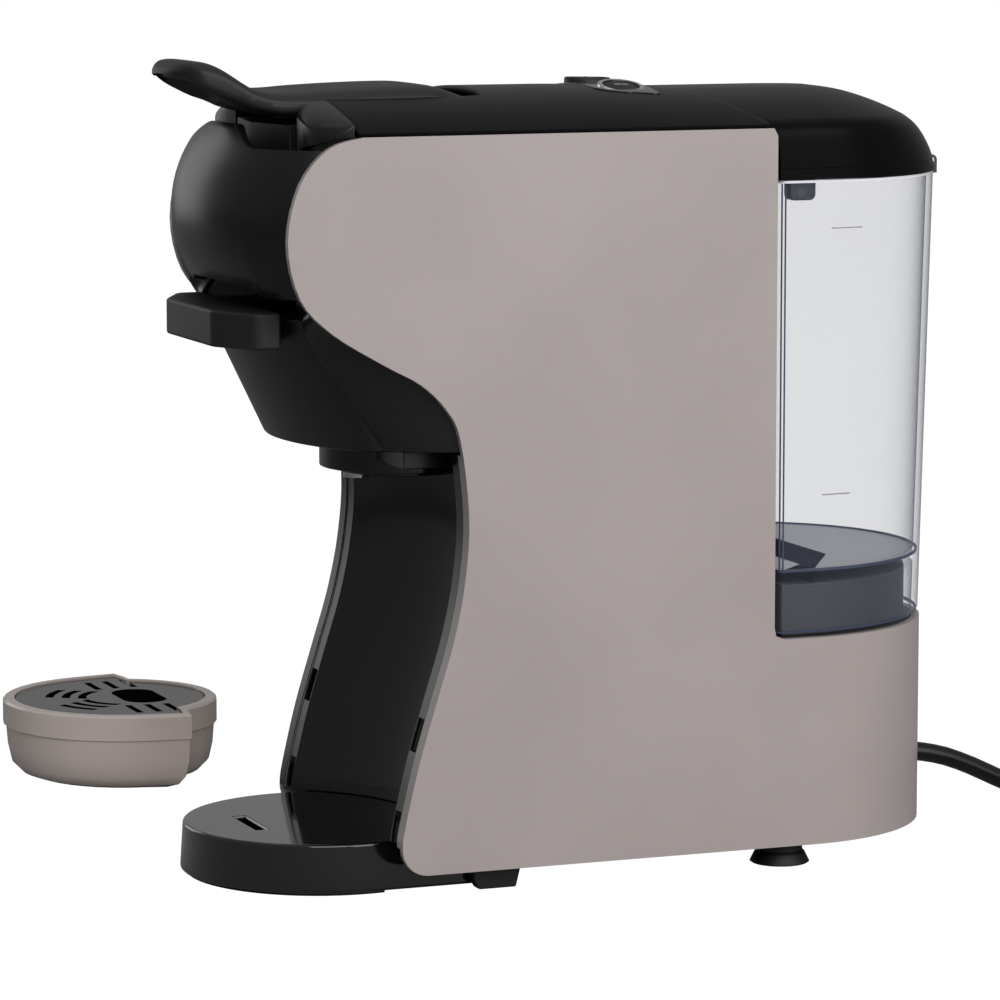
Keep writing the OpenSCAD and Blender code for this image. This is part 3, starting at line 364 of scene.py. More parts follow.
# the camera and the stage
def aim(thing, place, target):
    bpy.context.collection.objects.link(thing)
    thing.location = place
    thing.rotation_euler = (Vector(target) - Vector(place)).to_track_quat("-Z", "Y").to_euler()


view = {
    "place": (1.5062, -0.5295, 0.3359), "target": (0, 0.0638, 0.1202),
    "lens": 175.9, "sensor": 36, "far": 50,
}
cameraData = bpy.data.cameras.new("camera")
camera = bpy.data.objects.new("camera", cameraData)
aim(camera, view["place"], view["target"])
cameraData.lens = view["lens"]
cameraData.sensor_width = view["sensor"]
cameraData.clip_end = view["far"]
bpy.context.scene.camera = camera

lamps = {  # place, size, watts, target
    "topLamp": ((0.1, 0.1, 1.5), (1.4, 1.6), 3, (0, 0.1, 0.1)),
    "sideLamp": ((1.6, 0.75, 0.85), (1.3, 1.5), 19, (0, 0.08, 0.12)),
    "nearLamp": ((1.7, -0.4, 1.25), (1.0, 0.9), 12, (0, 0, 0.14)),
    "frontLamp": ((-1.65, -0.6, 0.5), (0.8, 1.0), 2.2, (0, 0, 0.16)),
}
for name, (place, size, watts, target) in lamps.items():
    data = bpy.data.lights.new(name, "AREA")
    data.shape = "RECTANGLE"
    data.size, data.size_y = size
    data.energy = watts
    aim(bpy.data.objects.new(name, data), place, target)

# the world is white to the eye and through clear plastic, part of that in mirrors and dim as a lamp
studio = {"fill": 0.12, "white": 1.0, "mirrored": 0.2}


def makeWorld():
    world = bpy.data.worlds.new("studio")
    bpy.context.scene.world = world
    world.use_nodes = True
    nodes, links = world.node_tree.nodes, world.node_tree.links
    nodes["Background"].inputs["Color"].default_value = (1, 1, 1, 1)
    rays = nodes.new("ShaderNodeLightPath")
    seen = nodes.new("ShaderNodeMath")
    seen.operation = "MAXIMUM"
    links.new(rays.outputs["Is Camera Ray"], seen.inputs[0])
    links.new(rays.outputs["Is Transmission Ray"], seen.inputs[1])
    mirrored = nodes.new("ShaderNodeMath")
    mirrored.operation = "MULTIPLY_ADD"
    links.new(rays.outputs["Is Glossy Ray"], mirrored.inputs[0])
    mirrored.inputs[1].default_value = studio["mirrored"]
    links.new(seen.outputs[0], mirrored.inputs[2])
    level = nodes.new("ShaderNodeMapRange")
    level.inputs["To Min"].default_value = studio["fill"]
    level.inputs["To Max"].default_value = studio["white"]
    links.new(mirrored.outputs[0], level.inputs["Value"])
    links.new(level.outputs[0], nodes["Background"].inputs["Strength"])


makeWorld()
bpy.context.scene.view_settings.view_transform = "Standard"
ground = {"half": 6, "grey": 0.4, "rough": 0.9, "glow": 1.33, "share": 0.76}


def makeFloor():  # white to the eye, less the shadow that it keeps
    bm = bmesh.new()
    bmesh.ops.create_grid(bm, x_segments=1, y_segments=1, size=ground["half"])
    mesh = bpy.data.meshes.new("floor")
    bm.to_mesh(mesh)
    bm.free()
    floor = bpy.data.objects.new("floor", mesh)
    bpy.context.collection.objects.link(floor)
    grey = ground["grey"]
    finish = Finish("floorPaint", Roughness=ground["rough"], Base_Color=(grey, grey, grey, 1))
    glow = finish.make("ShaderNodeEmission", None, {"Color": (1, 1, 1, 1), "Strength": ground["glow"]})
    rays = finish.make("ShaderNodeLightPath", out="Is Camera Ray")
    painted = Wire(finish, finish.shader.outputs[0])
    mixer = finish.make("ShaderNodeMixShader", None, {0: rays * ground["share"], 1: painted, 2: glow})
    finish.tree.links.new(mixer.socket, finish.tree.nodes["Material Output"].inputs["Surface"])
    mesh.materials.append(finish.material)


makeFloor()
print("camera, lamps and floor placed")

# mains cord
cord = {
    "width": 6.6,
    "route": [(0, 216, 24.8), (0, 222, 24), (0, 231, 21.8), (0, 241, 17.8), (0, 251, 13), (0, 261, 8.6),
              (0, 271, 5.4), (0, 281, 4)],
    "landing": (-0.2, 290, 3.9), "tail": [(78.3, 291, 10.8), (78.3, 283, 12)],
    "coil": (39, 300), "inner": 32.7, "outer": 39.3, "low": 3.9, "high": 10.5, "turns": 3.5, "steps": 16,
    "change": (0.8, 0.2),  # where in a turn the strand crosses over, and how long that takes
}


def coilPoint(turn):  # an outer and an inner turn below, then an inner turn and half an outer one above
    cx, cy = cord["coil"]
    out, inn, low, high = cord["outer"], cord["inner"], cord["low"], cord["high"]
    begin, share = cord["change"]
    t = min(max((turn - int(turn) - begin) / share, 0), 1)
    inward, upward, outward = out + (inn - out) * t, low + (high - low) * t, inn + (out - inn) * t
    part = min(int(turn), 3)
    radius, height = ((inward, low), (inn, upward), (outward, high), (out, high))[part]
    angle = pi - 2 * pi * turn
    return (cx + radius * cos(angle), cy + radius * sin(angle), height)


def makeCord():
    lead = [tuple(p) for p in splineThrough(cord["route"], 2)] + [cord["landing"]]
    count = int(cord["turns"] * cord["steps"])
    coil = [coilPoint(cord["turns"] * k / count) for k in range(count + 1)]
    points = [Vector(p) * mm for p in lead + coil + cord["tail"]]
    path = bpy.data.curves.new("mainsCord", "CURVE")
    path.dimensions = "3D"
    path.bevel_depth = cord["width"] / 2 * mm
    path.bevel_resolution = 5
    path.use_fill_caps = True
    strand = path.splines.new("POLY")
    strand.points.add(len(points) - 1)
    for knot, point in zip(strand.points, points):
        knot.co = (*point, 1)
    strand.use_smooth = True
    piece = bpy.data.objects.new("mainsCord", path)
    bpy.context.collection.objects.link(piece)
    path.materials.append(finishes["jacket"])
    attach(piece, "housing")
    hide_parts("cord_tube", "cord_coil")


nodeCopy("plug", "jacket", 2.0, 3)
makeCord()
paintNode("jacket", "cord_gland", "cord_tie")

# body: side panels, base, column, rails, feet
shape = {
    "front": [(-6.3, 246), (-18, 242.5), (-27.4, 231.5), (-31.6, 213.5), (-27.6, 195.5), (-16.6, 184),
              (0.8, 173.5), (12.8, 167), (21.2, 159), (26.2, 149), (29.2, 124), (27.9, 103.5), (24, 84),
              (18.2, 65), (12, 44.5), (7, 23.5), (6.2, 17)],
    "hollowR": 57, "railIn": 48.5, "baseTop": 17, "headFloor": 144.3, "half": 61, "crown": 257.4,
    "arch": 368,  # the top falls by x * x / arch
    "backY": 152, "waistTop": 160, "panelTop": 213.5,
}
frontLine = splineThrough(shape["front"], 8)
waistTable = [(p.y, p.x) for p in frontLine if p.y < shape["waistTop"]]
panelTable = [(p.y, p.x) for p in frontLine if p.y < shape["panelTop"]]


def hollowAt(x, z):
    edge = sqrt(shape["hollowR"] ** 2 - shape["railIn"] ** 2)
    return lookUp(z, waistTable) + sqrt(shape["hollowR"] ** 2 - x * x) - edge


column = {"gap": 0.3, "wall": 2.6, "columns": 40, "rows": 64}


def makeColumn():
    gap = column["gap"]
    low, high, half = shape["baseTop"] + gap, shape["headFloor"] - gap, shape["railIn"] - gap

    def place(u, v):
        x, z = (2 * u - 1) * half, low + (high - low) * v
        return (x, hollowAt(x, z), z)

    bm = sheet(bmesh.new(), column["columns"], column["rows"], place)
    thicken(bm, column["wall"])
    makePiece("columnFace", bm, "blackGloss", ("column",))


lipCover = {"inner": 55.25, "outer": 60.2, "gap": (0.3, 0.4), "proud": 0.1, "wall": 0.25, "rows": 64}


def makeLipCover(side):  # the dark front of the lip beside each rail
    inner, outer = lipCover["inner"], lipCover["outer"]
    low, high = shape["baseTop"] + lipCover["gap"][0], shape["headFloor"] - lipCover["gap"][1]

    def place(u, v):
        z = low + (high - low) * v
        return (side * (inner + (outer - inner) * u), lookUp(z, waistTable) + lipCover["proud"], z)

    bm = sheet(bmesh.new(), 3, lipCover["rows"], place)
    thicken(bm, lipCover["wall"])
    makePiece("lipCover" + sideName(side).capitalize(), bm, "blackSatin", body="housing", sharp=50)


makeColumn()
makeLipCover(1)
makeLipCover(-1)
for side in ("right", "left"):
    nodeCopy("side_panel_" + side, "greyShell", 0.9, 3)
    nodeCopy("rail_" + side, "blackSatin", 0.3)
    nodeCopy("front_foot_" + side, "rubber", 0.6)
nodeCopy("base", "pianoBlack", 1.0, 3)
paintNode("rubber", "lever_bed", "base_pad", "suction_foot_right", "suction_foot_left", "tank_seal")
paintNode("works", "frame", "shelf", "pump", "pump_cradle", "feed_tube", "board_posts")
paintNode("rubber", "press_guide", "pod_cup")
paintNode("blackSatin", "bottom_plate", "lid_knuckle")
paintNode("steel", "press", "lever_pin", "lid_pin", "boiler", "spout")
paintNode("board", "control_board")
paintNode("blade", "plug_pins")
print("body made")

# head: dome, cheeks, shoulders
dome = {
    "a": 58, "b": 45, "c": 44, "z": 218, "low": 194, "back": 14, "notch": 3.8, "notchHalf": 35,
    "rimFront": 248.2, "rimSide": 241.4, "tongue": 12, "slope": 33, "wall": 2.4,
    "square": 0.84, "taper": 0.35, "leastSection": 0.02, "rimZ": 244, "notchTo": -5, "count": 160, "rows": 34,
}


def domePoint(angle, z, inset=0):
    s = sqrt(max(1 - ((z - dome["z"]) / dome["c"]) ** 2, dome["leastSection"]))
    a, b = dome["a"] * s ** dome["taper"] - inset, dome["b"] * s - inset
    y = b * power(sin(angle), dome["square"])
    return a * power(cos(angle), dome["square"]), min(y, dome["back"])


def rimAt(x):  # the opening under the lever leaves a tongue in front and is lower at its sides
    t = min(max((abs(x) - dome["tongue"]) / (dome["slope"] - dome["tongue"]), 0), 1)
    return dome["rimFront"] + (dome["rimSide"] - dome["rimFront"]) * t * t * (3 - 2 * t)


def makeDome():
    wall, rows = dome["wall"], dome["rows"]

    def place(k, spot):
        f, inset = spot
        angle = 2 * pi * k / dome["count"]
        top = rimAt(domePoint(angle, dome["rimZ"])[0])
        z = dome["low"] + (top - dome["low"]) * f
        x, y = domePoint(angle, z, inset)
        low = dome["low"]
        if y < dome["notchTo"]:  # the lower edge rises in front, over the pod holder
            low += dome["notch"] * sqrt(max(0, 1 - (x / dome["notchHalf"]) ** 4))
        return (x, y, low + (top - low) * f)

    levels = [(0.25, wall), (0.1, wall), (0, wall)] + [(k / rows, 0) for k in range(rows + 1)]
    levels += [(1, wall), (0.9, wall), (0.8, wall)]
    bm = ringStack(bmesh.new(), dome["count"], levels, place, closeEnds=False)
    makePiece("headDome", bm, "blackSatin", ("dome",), bevel=0.7, sharp=48)


domeFloor = {"count": 96, "level": 238, "steps": [(2.6, 228), (2.6, 229.3), (3.4, 230)]}  # inset, height


def makeDomeFloor():  # dark floor of the opening under the lever
    def place(k, spot):
        inset, z = spot
        return (*domePoint(2 * pi * k / domeFloor["count"], domeFloor["level"], inset), z)

    bm = ringStack(bmesh.new(), domeFloor["count"], domeFloor["steps"], place)
    makePiece("headFloor", bm, "rubber", ("dome_roof",))


cheek = {
    "seam": [(144.3, 5.6), (148.5, 2.5), (156.5, -3), (167, -11), (178.5, -19.5), (186, -22.8), (190, -21.5),
             (194, -18)],  # height and place of the edge beside the cone
    "high": 193.6, "inner": 48.3, "outer": 58.2, "bend": 0.35, "back": 1, "wall": 2.0,
    "columns": 14, "rows": 60,
}


def makeCheek(side):
    low, high = shape["headFloor"], cheek["high"]
    x0, x1, bend = cheek["inner"], cheek["outer"], cheek["bend"]
    seam = [(p.x, p.y) for p in splineThrough(cheek["seam"], 6)]

    def place(u, v):
        z = low + (high - low) * v
        y0, y1 = lookUp(z, seam), lookUp(z, panelTable) + cheek["back"]
        return (side * (x0 + (x1 - x0) * u), y0 + (y1 - y0) * (bend * u + (1 - bend) * u * u), z)

    bm = sheet(bmesh.new(), cheek["columns"], cheek["rows"], place)
    thicken(bm, cheek["wall"])
    makePiece("cheek" + sideName(side).capitalize(), bm, "blackSatin", ("cheek_" + sideName(side),),
              bevel=0.7, sharp=50)


shoulder = {
    "plan": [(30.8, -18), (38, -19.4), (45, -19.8), (51, -18.4), (55.4, -14.6), (57.6, -11), (58.2, -8.8)],
    "low": [(30.8, 239.3), (38, 241), (45, 242.5), (51, 243.6), (55.4, 245), (57.6, 245.7), (58.2, 246)],
    "tall": 5, "leastSide": 0.5, "rear": -8.2, "swell": 1.4, "foot": 236, "footIn": (0.9, 1.3),
    "levels": [-1.4, -1.2, -1, -0.5],  # foot, foot's top, side; the round top runs from 0 to 1
    "rows": 12,
}


def makeShoulder(side):  # the cover's front corner beside the lever, round in front and flush behind
    plan = splineThrough(shoulder["plan"], 8)
    count, rear, rows = 2 * len(plan), shoulder["rear"], shoulder["rows"]

    def place(k, t):
        edge, inFront = plan[min(k, count - 1 - k)], k < len(plan)
        low = lookUp(edge.x, shoulder["low"])
        top = shape["crown"] - edge.x ** 2 / shape["arch"] + shoulder["swell"]
        tall = min(shoulder["tall"], top - low - shoulder["leastSide"])
        y, z = edge.y, low + (top - tall - low) * (1 + t)
        if t < -1:  # the narrower foot under the corner, which stands on the head
            z = shoulder["foot"] if t == shoulder["levels"][0] else low
            inX, inY = shoulder["footIn"]
            return (side * (edge.x - inX), y + inY if inFront else rear, z)
        if t > 0:
            y, z = edge.y + (rear - edge.y) * (1 - cos(t * pi / 2)), top - tall + tall * sin(t * pi / 2)
        return (side * edge.x, y if inFront else rear, z)

    levels = shoulder["levels"] + [k / rows for k in range(rows + 1)]
    bm = ringStack(bmesh.new(), count, levels, place, closeEnds=False)
    bmesh.ops.holes_fill(bm, edges=[edge for edge in bm.edges if edge.is_boundary])
    recalc(bm)
    makePiece("shoulder" + sideName(side).capitalize(), bm, "blackSatin", ("shoulder_" + sideName(side),),
              sharp=50)


well = {"half": 26, "front": -23, "point": 4, "back": -9, "low": 231, "high": 248.4}


def makeLeverWell():  # the dark block under the lever, between the two shoulders
    half, shoulderY = well["half"], well["front"] + well["point"]
    outline = [(-half, shoulderY), (0, well["front"]), (half, shoulderY), (half, well["back"]),
               (-half, well["back"])]
    bm = slab(bmesh.new(), outline, well["low"], well["high"])
    makePiece("leverWell", bm, "rubber", body="housing", bevel=0.6, sharp=40)


makeDome()
makeDomeFloor()
makeLeverWell()
makeShoulder(1)
makeShoulder(-1)
makeCheek(1)
makeCheek(-1)
print("head made")

# pod holder: cone, grip, collar
cone = {
    "low": 144.3, "high": 187.5, "half": 47.3, "side": 20, "back": 40, "count": 120, "rows": 12,
    # half width, depth, centre and roundness: value at the foot and change up to the top
    "section": ((55, 3), (35, 8.4), (20.5, -12.2), (1, -0.1)),
}


def makeCone():
    half, count, rows = cone["half"], cone["count"], cone["rows"]
    corners = [(half, cone["side"]), (half, cone["back"]), (-half, cone["back"]), (-half, cone["side"])]

    def place(k, f):
        z = cone["low"] + (cone["high"] - cone["low"]) * f
        a, b, cy, e = (foot + change * f for foot, change in cone["section"])
        if k >= count - len(corners):
            return (*corners[k - count], z)
        t0 = acos((half / a) ** (1 / e))
        t = pi + t0 + (pi - 2 * t0) * k / (count - len(corners) - 1)
        return (a * power(cos(t), e), cy + b * power(sin(t), e), z)

    bm = ringStack(bmesh.new(), count, [k / rows for k in range(rows + 1)], place)
    makePiece("holderCone", bm, "blackSatin", ("holder_cone",), bevel=0.7, sharp=50)


grip = {
    "half": 26, "backHalf": 41, "front": -45, "side": -33, "back": -27, "low": 177.8, "high": 189.7,
    "frontR": 6, "frontIn": 4, "sideR": 5,
}


def makeGrip():
    b, back, side, r = grip["backHalf"], grip["back"], grip["side"], grip["sideR"]
    tip, tipY, tipR = grip["half"] - grip["frontIn"], grip["front"] + grip["frontR"], grip["frontR"]
    outline = arc(-tip, tipY, tipR, 240, 270) + arc(tip, tipY, tipR, 270, 300) + arc(b - r, side, r, -60, 0)
    outline += [(b, back), (-b, back)] + arc(r - b, side, r, 180, 240)
    bm = slab(bmesh.new(), outline, grip["low"], grip["high"])
    makePiece("gripBar", bm, "charcoal", ("grip",), bevel=1.1, segments=3, sharp=30)


makeCone()
makeGrip()
nodeCopy("collar", "blackGloss", 0.5)
plate = {"half": 47.2, "front": 12, "low": 138.4, "high": 144, "gap": 1.2}


def makeCollarPlate():  # the flat piece beside the collar, hollow behind to clear the column
    across = [plate["half"] * (1 - k / 12) for k in range(25)]
    back = [(x, hollowAt(x, plate["low"]) - plate["gap"]) for x in across]
    outline = [(-plate["half"], plate["front"]), (plate["half"], plate["front"])] + back
    bm = slab(bmesh.new(), outline, plate["low"], plate["high"])
    makePiece("collarPlate", bm, "blackSatin", body="pod_holder", bevel=0.4, sharp=50)


makeCollarPlate()
print("pod holder made")

# lever
lever = {
    "stations": [  # y, half width, underside, top, depth and half width of the hollow
        (-54.4, 5, 263.6, 265.2, 0.2, 1), (-53.2, 10.5, 263.3, 266.6, 1, 7),
        (-51, 15.5, 262.8, 267.9, 3, 13), (-49, 18.8, 261.6, 268.5, 4.4, 17),
        (-46, 21.2, 259.5, 268.6, 5, 19.6), (-42, 21.6, 257.6, 268, 5.2, 18.4),
        (-38, 22, 255.9, 266.2, 4.6, 16), (-34, 22.6, 254.6, 263.6, 3.2, 12.5),
        (-31, 23.4, 253.4, 261.6, 1.4, 6), (-28, 24.4, 252.2, 260, 0.2, 2),
        (-22, 26, 250.8, 258.8, 0.2, 2), (-14, 27.6, 250.2, 258.6, 0.2, 2),
        (-4, 28.8, 249.5, 259.2, 0.2, 2), (10, 28.6, 249, 259.8, 0.2, 2),
        (24, 28, 249, 260.1, 0.2, 2), (32, 27, 249, 259.9, 0.2, 2),
        (37, 26.7, 249, 258.6, 0.2, 2), (41.2, 26.5, 249, 257.1, 0.2, 2)],
    "steps": 5, "count": 120, "roundness": (0.28, 0.5), "crown": 0.9, "lip": 1.6,
}
heel = {
    # distance from the middle, reach behind the axis
    "reach": [(0, 6.4), (8, 6.4), (15, 6.2), (20, 5.8), (24, 5), (26.8, 3.2)],
    "centre": (40.9, 250.5), "half": 26.8, "tall": 6.3, "crown": 0.9, "count": 24,
}


def makeLever():
    rows, steps, count = lever["stations"], lever["steps"], lever["count"]
    last, dense = len(rows) - 1, []
    for i in range(last):
        near = [rows[k] for k in (max(i - 1, 0), i, i + 1, min(i + 2, last))]
        dense += [[curveValue(*values, k / steps) for values in zip(*near)] for k in range(steps)]
    dense.append(list(rows[-1]))

    def place(k, row):
        y, hw, z0, z1, hollow, inner = row
        mid, half = (z0 + z1) / 2, (z1 - z0) / 2
        angle = 2 * pi * k / count
        x = hw * power(cos(angle), lever["roundness"][0])
        z = mid + half * power(sin(angle), lever["roundness"][1])
        if sin(angle) > 0:
            z -= lever["crown"] * (x / hw) ** 4
        elif abs(x) < inner:
            z += hollow * min(1, (inner - abs(x)) / lever["lip"])
        return (x, y, z)

    makePiece("leverHandle", ringStack(bmesh.new(), count, dense, place), "charcoal", ("lever",), sharp=50)


def makeHeel():  # half a barrel behind the lever's axis, whose top falls away towards its ends
    rows, (centreY, centreZ), count = splineThrough(heel["reach"], 5), heel["centre"], heel["count"]
    across = [(-p.x, p.y) for p in reversed(rows)] + [(p.x, p.y) for p in rows[1:]]

    def place(k, spot):
        x, reach = spot
        angle = radians(90 - 180 * k / (count - 1))
        drop = heel["crown"] * (x / heel["half"]) ** 4 if k < count / 2 else 0
        return (x, centreY + reach * cos(angle), centreZ + heel["tall"] * sin(angle) - drop)

    makePiece("leverHeel", ringStack(bmesh.new(), count, across, place), "charcoal", body="lever", sharp=50)


makeLever()
makeHeel()
print("lever made")

# deck and controls
lid = {
    "seam": [(229, 137.8), (237, 137.6), (245, 136.1), (251, 131.2), (255, 124.2), (257.4, 114)],
    "rear": [(229, 216.8), (236, 214.8), (244.5, 208.5), (250.6, 198.5), (255.2, 186), (257.1, 174)],
    "cy": 156, "low": 229, "top": 257.1, "round": (5.5, 243.3, 248.6), "sag": 10.4,
    "groove": 0.16, "grooveAt": (0.07, 0.072, 0.084, 0.086), "wall": 2.4, "inside": 0.12, "seamGap": 0.15,
    "count": 120, "rows": 30, "front": 12,
}
deck = {
    "front": -7.9, "low": 246.3, "wall": 2, "hingeY": 41.2, "outer": 60.95, "seamGap": 0.25,
    "button": (14.5, 101), "hole": 7.4, "rows": 60, "frontRows": 32, "columns": (36, 22),
    "cut": [(0, 7.1), (18, 7), (24, 6.6), (27.2, 6)],
    "swell": [(-8, 1.4), (80, 1.2), (110, 0.6), (136, 0)],
    "leverEdge": [(-8, 29.2), (-4, 29.1), (10, 29), (24, 28.4), (34, 27.6), (41.2, 27.2)],
}


def crownAt(x, y=200):
    swell = lookUp(y, deck["swell"]) * (1 - min(abs(x) / shape["half"], 1) ** 4)
    return shape["crown"] - x * x / shape["arch"] + swell


def makeDeck():  # the cover between lever and lid: a middle behind the lever and a strip on each side of it
    seam = [tuple(p) for p in splineThrough(lid["seam"], 8)]
    front, hinge, inner, outer = deck["front"], deck["hingeY"], deck["leverEdge"][-1][1], deck["outer"]
    rows, frontRows, (middleColumns, columns) = deck["rows"], deck["frontRows"], deck["columns"]

    def seamAt(x):
        return lookUp(crownAt(x), seam) - deck["seamGap"]

    def middle(u, v):
        x = (2 * u - 1) * inner
        y = hinge + (lookUp(abs(x), deck["cut"]) if abs(x) < inner - 0.01 else 0)
        y += (seamAt(x) - y) * v
        return (x, y, crownAt(x, y))

    bm = sheet(bmesh.new(), middleColumns, rows, middle)
    for side in (1, -1):
        def strip(u, v):
            row = round(v * (rows + frontRows))
            y = front + (hinge - front) * row / frontRows
            edge = lookUp(y, deck["leverEdge"]) if row < frontRows else inner
            x = min(edge + (outer - edge) * u * columns / (columns - 1), outer)
            if row > frontRows:
                y = hinge + (seamAt(x) - hinge) * (row - frontRows) / rows
            return (side * x, y, crownAt(x, y) if u < 0.99 else deck["low"])

        sheet(bm, columns, rows + frontRows, strip)
    bmesh.ops.remove_doubles(bm, verts=bm.verts, dist=1e-3)
    buttonX, buttonY = deck["button"]

    def underButton(face):
        centre = face.calc_center_median()
        return Vector((abs(centre.x) - buttonX, centre.y - buttonY)).length < deck["hole"]

    bmesh.ops.delete(bm, geom=[face for face in bm.faces if underButton(face)], context="FACES")
    bmesh.ops.recalc_face_normals(bm, faces=bm.faces)
    if sum(face.normal.z for face in bm.faces) < 0:
        bmesh.ops.reverse_faces(bm, faces=bm.faces)
    piece = makePiece("deckShell", bm, "deckBlack", ("deck",), sharp=50)
    wall = piece.modifiers.new("wall", "SOLIDIFY")
    wall.thickness = deck["wall"] * mm
    wall.offset = -1
    roundEdges(piece, 0.35, 2, 50)


makeDeck()
controls = {
    "rise": 1.2, "cap": [(0.01, 0), (2.6, -0.08), (4.4, -0.3), (5.4, -0.6), (6, -1.1)], "deep": 5,
    "ringRise": 1.05, "ring": [(6.28, -0.1), (6.58, 0), (7.4, 0), (7.8, -0.4)], "ringDeep": 4,
    "mark": (0.35, 2.4), "markSink": 0.03, "markStep": 0.02, "markZ": (-0.1, 0.06),
    "tilt": ((5, 1.3), (9, 0.1)),  # far and near button: degrees and lift
}


def onCrown(bm):  # bends a piece that was made on a level plane to the cover's arch
    for vert in bm.verts:
        vert.co.z += crownAt(vert.co.x, vert.co.y) - shape["crown"]
    return bm


def tilt(bm, side):  # leans a button and its ring towards the user's right
    x0, y0 = deck["button"]
    angle, lift = controls["tilt"][side > 0]
    centre = Vector((side * x0, y0, crownAt(x0, y0)))
    bmesh.ops.rotate(bm, verts=bm.verts, cent=centre, matrix=Matrix.Rotation(radians(angle), 3, "Y"))
    bmesh.ops.translate(bm, verts=bm.verts, vec=(0, 0, lift))
    return bm


def makeButton(side):
    (x0, y0), name = deck["button"], sideName(side)
    crown = shape["crown"]
    top, foot = crown + controls["rise"], crown - controls["deep"]
    cap = [(r, top + z) for r, z in controls["cap"]]
    cap += [(cap[-1][0], foot), (cap[0][0], foot)]
    bm = tilt(onCrown(turned(bmesh.new(), cap, (side * x0, y0, 0))), side)
    makePiece(name + "Button", bm, "charcoal", ("button_" + name,), sharp=60)
    ringTop, ringFoot = crown + controls["ringRise"], crown - controls["ringDeep"]
    rim = [(r, ringTop + z) for r, z in controls["ring"]]
    rim = [(rim[0][0], ringFoot)] + rim + [(rim[-1][0], ringFoot), (rim[0][0], ringFoot)]
    bm = tilt(onCrown(turned(bmesh.new(), rim, (side * x0, y0, 0))), side)
    makePiece(name + "ButtonRing", bm, "ring" if side > 0 else "charcoal", ("button_ring_" + name,), sharp=50)
    (half, reach), (under, over) = controls["mark"], controls["markZ"]
    bars = [(half, reach)] if side > 0 else [(reach, half), (half, reach)]  # a dash and a cross
    for count, (w, h) in enumerate(bars):
        x, z = side * x0, top - controls["markSink"] + controls["markStep"] * count
        outline = [(x - w, y0 - h), (x + w, y0 - h), (x + w, y0 + h), (x - w, y0 + h)]
        bm = tilt(onCrown(slab(bmesh.new(), outline, z + under, z + over)), side)
        makePiece(f"{name}Mark{count}", bm, "mark", body=bodyOf("button_" + name))


pod = {
    "low": -0.3, "high": 0.3, "r": 10.2, "waist": 9.6,
    "wing": [(27.2, 7.4), (26.6, 9), (22, 9.4)],  # off the middle, behind the buttons' centres
}


def makePod():  # the low plinth round the two buttons, with a wing at each end
    (x0, y0), crown, r = deck["button"], shape["crown"], pod["r"]
    half = [(0, y0 - pod["waist"])] + arc(x0, y0, r, -90, 0, 9) + [(x, y0 + y) for x, y in pod["wing"]]
    half += [(x0, y0 + r), (0, y0 + pod["waist"])]
    outline = half + [(-x, y) for x, y in reversed(half[1:-1])]
    bm = slab(bmesh.new(), outline, crown + pod["low"], crown + pod["high"])
    bmesh.ops.triangulate(bm, faces=[face for face in bm.faces if len(face.verts) > 4])
    bmesh.ops.subdivide_edges(bm, edges=bm.edges, cuts=3, use_grid_fill=True)
    makePiece("controlPod", onCrown(bm), "blackGloss", ("control_pod",), bevel=0.25, sharp=50)


makeButton(1)
makeButton(-1)
makePod()
print("controls made")

# tank
tank = {
    "r": 60.4, "front": 138, "lean": 4, "wall": 2.2, "low": 79.4, "floor": 95.3, "floorT": 4.4, "rim": 229,
    "corner": 3.0, "leastCorner": 0.8, "hole": 24, "round": 1.5, "bevel": 1.2, "middle": 160, "count": 96,
}


floorTop = tank["floor"] + tank["floorT"]


def dPoint(k, count, r, y0, cy, corner):
    # a D: straight front at y0 with rounded corners, straight sides, round back about cy
    frontSteps, cornerSteps = 4, 8
    arcSteps = count - frontSteps - 2 * cornerSteps
    if k < arcSteps:
        angle = pi * k / (arcSteps - 1)
        return (r * cos(angle), cy + r * sin(angle))
    k -= arcSteps
    if k < cornerSteps:
        angle = pi + pi / 2 * k / (cornerSteps - 1)
        return (-r + corner + corner * cos(angle), y0 + corner + corner * sin(angle))
    k -= cornerSteps
    if k < frontSteps:
        return ((-r + corner) + 2 * (r - corner) * (k + 1) / (frontSteps + 1), y0)
    k -= frontSteps
    angle = 1.5 * pi + pi / 2 * k / (cornerSteps - 1)
    return (r - corner + corner * cos(angle), y0 + corner + corner * sin(angle))


def tankBack(z):  # the centre of the round back, which leans to the rear as it rises
    return shape["backY"] + tank["lean"] * (z - tank["low"]) / (tank["rim"] - tank["low"])


def tankPoint(k, z, inset, leastCorner):
    corner = max(tank["corner"] - inset, leastCorner)
    return (*dPoint(k, tank["count"], tank["r"] - inset, tank["front"] + inset, tankBack(z), corner), z)


def makeTank():
    top, floor, low, w, hole = tank["rim"] - 0.3, tank["floor"], tank["low"], tank["wall"], tank["hole"]
    r, bevel, middle = tank["round"], tank["bevel"], tank["middle"]
    walk = [  # height and distance in from the outside
        (floorTop, hole), (floorTop, w + r), (floorTop + r, w), (middle, w), (top, w), (top, 0), (middle, 0),
        (floor, 0), (low + bevel, 0), (low, bevel), (low, w), (floor, w), (floor, hole)]

    def place(k, spot):
        return tankPoint(k, *spot, tank["leastCorner"])

    bm = ringStack(bmesh.new(), tank["count"], walk, place)
    makePiece("tankShell", bm, "clear", ("tank",), bevel=0.35, sharp=35)


def tankRing(name, finish, low, high, outside, depth):  # a bead that runs round the tank's wall, or a plate
    inside, plate = outside + depth, depth > 5
    walk = [(low, inside), (low, outside), (high, outside), (high, inside), (low, inside)]

    def place(k, spot):
        return tankPoint(k, *spot, 0.6)

    bm = ringStack(bmesh.new(), tank["count"], walk[:4] if plate else walk, place, closeEnds=plate)
    makePiece(name, bm, finish, body="tank", sharp=40)


